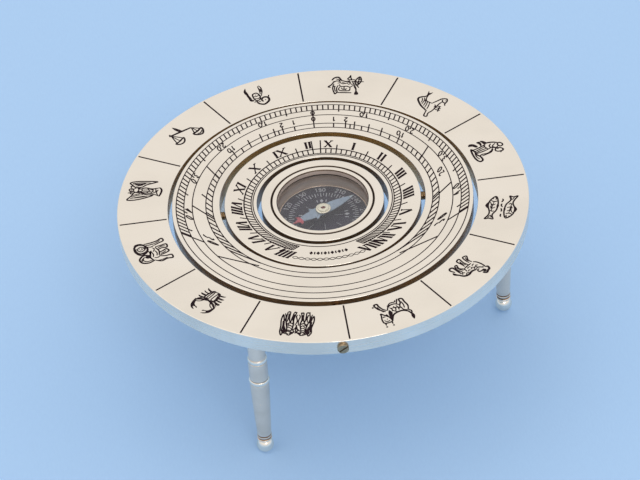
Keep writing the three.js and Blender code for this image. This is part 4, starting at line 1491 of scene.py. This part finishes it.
def collar(name, node, body, inner_wall, outer_wall, angle):
    """A loose collar on a pivot, with a shallow waist."""
    start, end = inner_wall + COLLAR_GAP, outer_wall - COLLAR_GAP
    middle = (start + end) / 2
    corners = [
        (COLLAR_HOLE, start), (COLLAR_RADIUS, start), (COLLAR_RADIUS, middle - HALF_WAIST),
        (COLLAR_WAIST, middle), (COLLAR_RADIUS, middle + HALF_WAIST), (COLLAR_RADIUS, end),
        (COLLAR_HOLE, end),
    ]
    radii = [0, 0.15 * MM, 0.1 * MM, 0.2 * MM, 0.1 * MM, 0.15 * MM, 0]
    obj = turned(name, rounded(corners, radii), SMALL_ROUND, [SHADED_COLLAR], matrix=LYING)
    place(obj, about_pivots(angle))
    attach(obj, body)
    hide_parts(node)


FRONT_BACK = {"front": -90, "back": 90}
LEFT_RIGHT = {"left": 180, "right": 0}
GRUB_RECESS = 0.5 * MM
SEAT_GAP = 0.05 * MM

for side, angle in FRONT_BACK.items():
    scale_wall = SCALE_OUTER + (SET_BACK if side == "back" else -SET_BACK)
    pivot_screw(
        f"zodiac_pivot_screw_{side}_slotted", f"zodiac_pivot_screw_{side}", "stand",
        scale_wall - BORE_DEPTH + TIP_GAP, ZODIAC_OUTER + SEAT_GAP + HEAD_THICKNESS, angle,
        seat=ZODIAC_OUTER + SEAT_GAP,
    )
    collar(f"zodiac_collar_{side}_turned", f"zodiac_collar_{side}", "stand", scale_wall, ZODIAC_INNER, angle)
    pivot_screw(
        f"hour_pivot_screw_{side}_slotted", f"hour_pivot_screw_{side}", "hour_gimbal",
        BOWL_OUTER - BOWL_BORE_DEPTH + TIP_GAP, HOUR_OUTER - GRUB_RECESS, angle,
    )
    collar(f"hour_collar_{side}_turned", f"hour_collar_{side}", "hour_gimbal", BOWL_OUTER, HOUR_INNER, angle)
for side, angle in LEFT_RIGHT.items():
    pivot_screw(
        f"scale_pivot_screw_{side}_slotted", f"scale_pivot_screw_{side}", "scale_gimbal",
        HOUR_OUTER - BORE_DEPTH + TIP_GAP, SCALE_OUTER - GRUB_RECESS, angle,
    )
    collar(
        f"scale_collar_{side}_turned", f"scale_collar_{side}", "scale_gimbal", HOUR_OUTER, SCALE_INNER,
        angle,
    )

# ---------------------------------------------------------------- legs


def bead(low, high, radius, inner):
    """A half-round bead between two grooves, as profile points in millimetres."""
    steps = 14
    return [
        (
            inner + (radius - inner) * math.sin(math.pi * k / steps),
            low + (high - low) * (0.5 - 0.5 * math.cos(math.pi * k / steps)),
        )
        for k in range(steps + 1)
    ]


def shaft(low, high, low_radius, high_radius, swell):
    """A slightly swelling taper, as profile points in millimetres."""
    steps = 16
    return [
        (
            low_radius + (high_radius - low_radius) * k / steps + swell * math.sin(math.pi * k / steps),
            low + (high - low) * k / steps,
        )
        for k in range(steps + 1)
    ]


def leg_profile():
    """Radii and heights in millimetres: a ball foot, an ankle, a long taper, two beads round a plain drum,
    and a stud that goes up into the ring."""
    ball, flat, neck = 4.2, 1.5, 2.7
    ball_height = math.sqrt(ball ** 2 - flat ** 2)
    start = -math.degrees(math.asin(ball_height / ball))
    end = math.degrees(math.acos(neck / ball))
    shoulder = UNDER / MM - 0.05
    points = [(0, 0)]
    points += arc(0, ball_height, ball, start, end, 24)
    points += [(neck - 0.15, 7.75), (3.3, 8.1), (3.6, 8.3), (3.6, 8.9), (3.4, 9.1), (2.9, 9.2), (2.9, 9.8)]
    points += [(3.45, 9.95), (3.6, 10.15), (3.6, 10.7), (3.45, 10.9), (3.05, 11.0), (3.05, 11.5)]
    points += shaft(11.65, 46.8, 3.45, 4.75, 0.1)
    points += [(4.65, 47.0), (4.4, 47.1)]
    points += bead(47.2, 49.6, 5.1, 4.3)
    points += [(4.3, 49.75), (4.55, 49.9), (4.65, 50.1), (4.65, 60.6), (4.55, 60.8), (4.3, 60.9)]
    points += bead(61.0, 63.4, 4.8, 4.2)
    points += [(4.1, 63.55), (4.2, 64.0), (4.2, shoulder - 0.15), (4.05, shoulder)]
    points += [(2.4, shoulder), (2.4, shoulder + 5.4), (2.2, shoulder + 5.6), (0, shoulder + 5.6)]
    return [(radius * MM, height * MM) for radius, height in points]


# The ball and the beads take a paler copy of the leg's brass: painted highlight, so that they shine whiter.
HIGHLIGHT_HEIGHTS = ((0, 7.8), (47.1, 49.65), (61.0, 63.45))  # the heights of the ball and the beads
# The deep grooves take the darkened wall brass: painted shade in the grooves.
SHADED_GROOVES = ((7.5, 11.6, 3.35), (49.55, 49.95, 4.5))  # the deep grooves' heights, and the radius they stay under
PLAIN_BAND, GROOVE_SHADE_BAND, HIGHLIGHT_BAND = range(3)


def leg_band(radius, height):
    """The material number of a leg's band at that place."""
    radius, height = radius / MM, height / MM
    if any(low < height < high and radius < wider for low, high, wider in SHADED_GROOVES):
        return GROOVE_SHADE_BAND
    return HIGHLIGHT_BAND if any(low <= height < high for low, high in HIGHLIGHT_HEIGHTS) else PLAIN_BAND


for leg, (x, y) in leg_axes.items():
    brass = turned_brass(f"{leg}_brass", (x, y))
    where = Matrix.Translation((x, y, 0))
    # A paler copy of the same brass for the ball and the beads: painted highlight.
    highlight_brass = turned_brass(f"{leg}_bead_highlight_brass", (x, y), (0.96, 0.89, 0.78))
    piece = turned(f"{leg}_turned", leg_profile(), 96, [brass, SHADED_OUTER_WALL, highlight_brass], leg_band, where)
    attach(piece, "stand")
    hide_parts(leg)

# ---------------------------------------------------------------- engraving on the zodiac ring

FIGURE_RADIUS = (ZODIAC_OUTER + ZODIAC_INNER) / 2
SECTOR_LINE_START = math.degrees(math.atan2(leg_axes["leg_right"][0], leg_axes["leg_right"][1])) % 30
LINE = 0.52 * MM
TICK = 0.7 * MM


def zodiac_engraving():
    """Twelve sector lines, and a figure upright in each sector."""
    art = Engraving(TOP)
    for k in range(12):
        angle = SECTOR_LINE_START + 30 * k
        art.stroke([polar(ZODIAC_INNER + 0.8 * MM, angle), polar(ZODIAC_OUTER - 1.1 * MM, angle)], 0.82 * MM)
    first = SECTOR_LINE_START - 45
    for k, figure in enumerate(FIGURES.values()):
        figure_strokes(art, figure, first - 30 * k, FIGURE_RADIUS)
    art.piece("zodiac_engraving", FILL, "stand")


# ---------------------------------------------------------------- engraving on the scale ring

SOUTH = 68.4 * MM  # the ladders' cross lines all point at a place this far south of the centre
ZERO = 1.0  # where the zero mark is
OUTER_LADDER = (68.4 * MM, 72.3 * MM)
FIVE_END = 66.8 * MM
LABEL_RADIUS = 66.3 * MM
MIDDLE_CIRCLE = 64.3 * MM
INNER_LADDER = (54.4 * MM, 57.6 * MM)
INNER_LABEL_RADIUS = 61.1 * MM
TALL_END = 60.2 * MM
SHORT_LINE = ((64.3 * MM, 123.5), (56.5 * MM, 143))  # the last slanted line, as radii and angles
OUTER_STEP = 1.13  # direction from the south point, for each unit of the outer scale
OUTER_UNITS = 47
LABEL_HEIGHT = 3.1 * MM
LABEL_LINE = 0.66 * MM


def cross_line(art, direction, from_radius, to_radius):
    """A straight line on the way from the south point, between two circles."""
    ends = []
    for distance in (from_radius, to_radius):
        radius, angle = to_polar(ray(SOUTH, distance, direction))
        ends.append(polar(radius, angle + ZERO))
    art.stroke(ends, TICK)


def inner_angle(value):
    """Where a value of the inner scale stands, on the circle of its numbers."""
    return 3.4 * value + 10.5 * (1 - math.exp(-value / 1.1))


def inner_direction(side, value):
    return direction_through(SOUTH, INNER_LABEL_RADIUS, side * inner_angle(value))


def scale_engraving():
    """Two mirrored scales that start at the back: an even one in the outer ladder, and one that closes up."""
    art = Engraving(TOP)
    for radius in (*OUTER_LADDER, MIDDLE_CIRCLE, *INNER_LADDER):
        art.circle(radius, LINE)
    low, high = OUTER_LADDER
    for side in (1, -1):
        for unit in range(OUTER_UNITS + 1):
            end = FIVE_END if unit % 5 == 0 and unit else low
            cross_line(art, side * OUTER_STEP * unit, end, high)
        cross_line(art, side * OUTER_STEP * (OUTER_UNITS + 0.4), MIDDLE_CIRCLE, high)
        for value, advance in ((10, 0.85), (20, 1.05), (30, 1.4), (40, 1.75)):
            scale_label(art, str(value), LABEL_RADIUS, side * OUTER_STEP * value, advance)
        inner_scale(art, side)
    for radius in (LABEL_RADIUS, INNER_LABEL_RADIUS + 0.4 * MM):
        scale_label(art, "0", radius, 0, 0.8)
    art.stroke([polar(INNER_LADDER[0], ZERO), polar(low, ZERO)], TICK)
    piece = art.piece("scale_engraving", FILL, "scale_gimbal")
    place(piece, Matrix.Translation((0, SET_BACK, 0)))


def inner_scale(art, side):
    low, high = INNER_LADDER
    marks = [(1, high), (2, TALL_END), (2.5, high), (3, TALL_END), (4, high), (5, TALL_END), (7, TALL_END),
             (8.5, high), (10, TALL_END)]
    marks += [(value, TALL_END if value == 20 and side < 0 else high) for value in range(11, 32)]
    for value, end in marks:
        cross_line(art, inner_direction(side, value), low, end)
    for angle in (60, 87):
        cross_line(art, direction_through(SOUTH, MIDDLE_CIRCLE, side * angle), low, MIDDLE_CIRCLE)
    start, end = SHORT_LINE
    art.stroke([polar(start[0], ZERO + side * start[1]), polar(end[0], ZERO + side * end[1])], TICK)
    for value, advance in ((1, 0.8), (2, 0.8), (10, 0.85), (20, 0.95), (30, 1.5)):
        if value != 20 or side > 0:
            scale_label(art, str(value), INNER_LABEL_RADIUS, inner_direction(side, value), advance)


def scale_label(art, text, radius, direction, advance):
    """A number with its top towards the centre, its digits spread to straddle the slanting line."""
    strokes = [(line, 0) for line in number_strokes(text, advance)]
    write(art, strokes, LABEL_HEIGHT, radius, direction, SOUTH, ZERO, LABEL_LINE)


# ---------------------------------------------------------------- engraving on the hour ring

HOUR_LADDER = (35.3 * MM, 38.8 * MM)
HOUR_INNER_CIRCLE = 34.4 * MM
HOUR_SOUTH = 0.59 * HOUR_LADDER[1]
HALF_HOUR_END = 42 * MM
NOON = 0.9  # where the middle of noon is
NOON_GAP = 2.9  # from there to the noon line on each side
NOON_END = 45.4 * MM
TEN_MINUTES = 2.5
AFTERNOON = ("I", "II", "III", "IIII", "V", "VI", "VII", "VIII")
MORNING = ("XI", "X", "IX", "VIII", "VII", "VI", "V", "IIII")
LADDER_STEPS = 48
HOUR_TICK = 0.64 * MM
ROMAN_RADIUS = 42.5 * MM
ROMAN_HEIGHT = 4.9 * MM


def hour_cross_line(art, side, step, low, high):
    direction = side * TEN_MINUTES * step
    points = []
    for radius in (low, (low + high) / 2, high):
        _, angle = to_polar(ray(HOUR_SOUTH, radius, direction))
        points.append(polar(radius, angle + NOON + side * NOON_GAP))
    art.stroke(points, HOUR_TICK)


def hour_engraving():
    """A ladder of ten-minute marks that close up towards the front, and roman hours outside it."""
    art = Engraving(TOP)
    low, high = HOUR_LADDER
    end_angle = to_polar(ray(HOUR_SOUTH, high, TEN_MINUTES * LADDER_STEPS))[1] + NOON_GAP
    art.circle(high, LINE * 1.3, NOON - end_angle, NOON + end_angle)
    art.circle(low, LINE, NOON - end_angle - 3, NOON + end_angle + 3)
    art.circle(HOUR_INNER_CIRCLE, LINE)
    for side in (1, -1):
        for step in range(LADDER_STEPS + 1):
            top = HALF_HOUR_END if step % 6 == 3 else high
            hour_cross_line(art, side, step, low, top)
        noon = NOON + side * NOON_GAP
        art.stroke([polar(low, noon), polar(NOON_END, noon)], HOUR_TICK)
        for hour, text in enumerate(AFTERNOON if side > 0 else MORNING, 1):
            lean = side * 6 * TEN_MINUTES * hour
            spread = 1.18 if len(text) < 3 else 1.0
            write(art, roman_strokes(text, spread), ROMAN_HEIGHT, ROMAN_RADIUS, lean, HOUR_SOUTH, noon)
    for text, angle in (("X", 9.1), ("II", -4.7)):
        write(art, roman_strokes(text, 1.0), ROMAN_HEIGHT * 0.96, ROMAN_RADIUS, 0, HOUR_SOUTH, angle)
    ornament(art)
    art.piece("hour_engraving", FILL, "hour_gimbal")


def ornament(art):
    """A plain border in the open part of the ring at the front: lozenges and bars, and a double wave."""
    upper, lower = 39.2 * MM, 43.6 * MM
    wave_steps = 120
    for k in range(-5, 6):
        angle = 180 + NOON + 2.5 * k
        if k % 2:
            diamond(art, upper, angle, 2.5 * MM, 1.9 * MM)
        else:
            art.stroke([polar(upper - 0.9 * MM, angle), polar(upper + 0.9 * MM, angle)], 0.7 * MM)
    for phase in (0, math.pi):
        wave = []
        for k in range(wave_steps + 1):
            share = k / wave_steps
            angle = 180 + NOON - 24 + 48 * share
            swing = 0.8 * MM * math.sin(12 * math.pi * share + phase)
            wave.append(polar(lower + swing, angle))
        art.stroke(wave, 0.4 * MM, taper=0.8)


zodiac_engraving()
scale_engraving()
hour_engraving()

# ---------------------------------------------------------------- stage, light and camera


def backdrop():
    """A wide, pale blue cloth floor."""
    m = Nodes("pale_blue_cloth", (0.42, 0.62, 0.89), 0.9)
    weave = m.noise(1.0, 4, 0.6, m.stretched((900, 260, 1)))
    broad = m.noise(2.2, 2, 0.5)
    threads = m.ramp(weave, (0.3, (0.43, 0.64, 0.93)), (0.7, (0.465, 0.68, 0.96)))
    patches = m.ramp(broad, (0.3, (0.43, 0.645, 0.94)), (0.7, (0.46, 0.67, 0.95)))
    m.set("Base Color", m.mix(0.5, threads, patches))
    m.bump(weave, 0.0002, 0.3)
    reach = 30
    corners = [(-reach, -reach, 0), (reach, -reach, 0), (reach, reach, 0), (-reach, reach, 0)]
    floor = new_object("floor", corners, [(0, 1, 2, 3)], materials=[m.material])


def sky():
    """Even studio light: warm white overhead, and pale blue low down, as a cloth backdrop sends it back."""
    world = bpy.data.worlds.new("studio")
    bpy.context.scene.world = world
    world.use_nodes = True
    tree = world.node_tree
    background = tree.nodes["Background"]
    coordinates = tree.nodes.new("ShaderNodeTexCoord")
    split = tree.nodes.new("ShaderNodeSeparateXYZ")
    ramp = tree.nodes.new("ShaderNodeValToRGB")
    stops = [
        (0.0, (0.46, 0.64, 0.88)),
        (0.22, (0.60, 0.70, 0.82)),
        (0.42, (0.82, 0.815, 0.82)),
        (1.0, (0.90, 0.89, 0.87)),
    ]
    set_stops(ramp, stops)
    tree.links.new(coordinates.outputs["Generated"], split.inputs["Vector"])
    tree.links.new(split.outputs["Z"], ramp.inputs["Fac"])
    tree.links.new(ramp.outputs["Color"], background.inputs["Color"])
    background.inputs["Strength"].default_value = 1.0


def softbox(name, azimuth, elevation, distance, size, power):
    """A square soft light, aimed at the rings. Azimuths are clockwise from +Y."""
    lamp = bpy.data.lights.new(name, "AREA")
    lamp.shape = "RECTANGLE"
    lamp.size, lamp.size_y = size
    lamp.energy = power
    obj = bpy.data.objects.new(name, lamp)
    bpy.context.scene.collection.objects.link(obj)
    x, y = polar(math.cos(math.radians(elevation)) * distance, azimuth)
    obj.location = (x, y, distance * math.sin(math.radians(elevation)))
    obj.rotation_mode = "QUATERNION"
    obj.rotation_quaternion = (Vector((0, 0, TOP)) - obj.location).to_track_quat("-Z", "Y")
    obj.visible_camera = False


def camera():
    """Above the front edge, looking down at the rings, a touch from the left and tilted a little."""
    azimuth, elevation, roll = math.radians(-2.42), math.radians(41.875), math.radians(-4.277)
    target = Vector((-0.0393 * ZODIAC_OUTER, -0.2894 * ZODIAC_OUTER, TOP))
    distance = 14.915 * ZODIAC_OUTER
    back = Vector((
        math.sin(azimuth) * math.cos(elevation),
        -math.cos(azimuth) * math.cos(elevation),
        math.sin(elevation),
    ))
    level = (-back).cross(Vector((0, 0, 1))).normalized()
    upward = level.cross(-back)
    right = math.cos(roll) * level + math.sin(roll) * upward
    up = math.cos(roll) * upward - math.sin(roll) * level
    data = bpy.data.cameras.new("camera")
    data.lens = 175.58
    data.sensor_width = 36
    obj = bpy.data.objects.new("camera", data)
    bpy.context.scene.collection.objects.link(obj)
    turn = Matrix((right, up, back)).transposed().to_4x4()
    obj.matrix_world = Matrix.Translation(target + back * distance) @ turn
    bpy.context.scene.camera = obj


backdrop()
sky()
softbox("window_light", -25, 66, 2.6, (1.3, 1.3), 2.6)
softbox("front_light", 168, 46, 2.6, (1.0, 0.7), 7)
camera()
bpy.context.scene.view_settings.view_transform = "Standard"
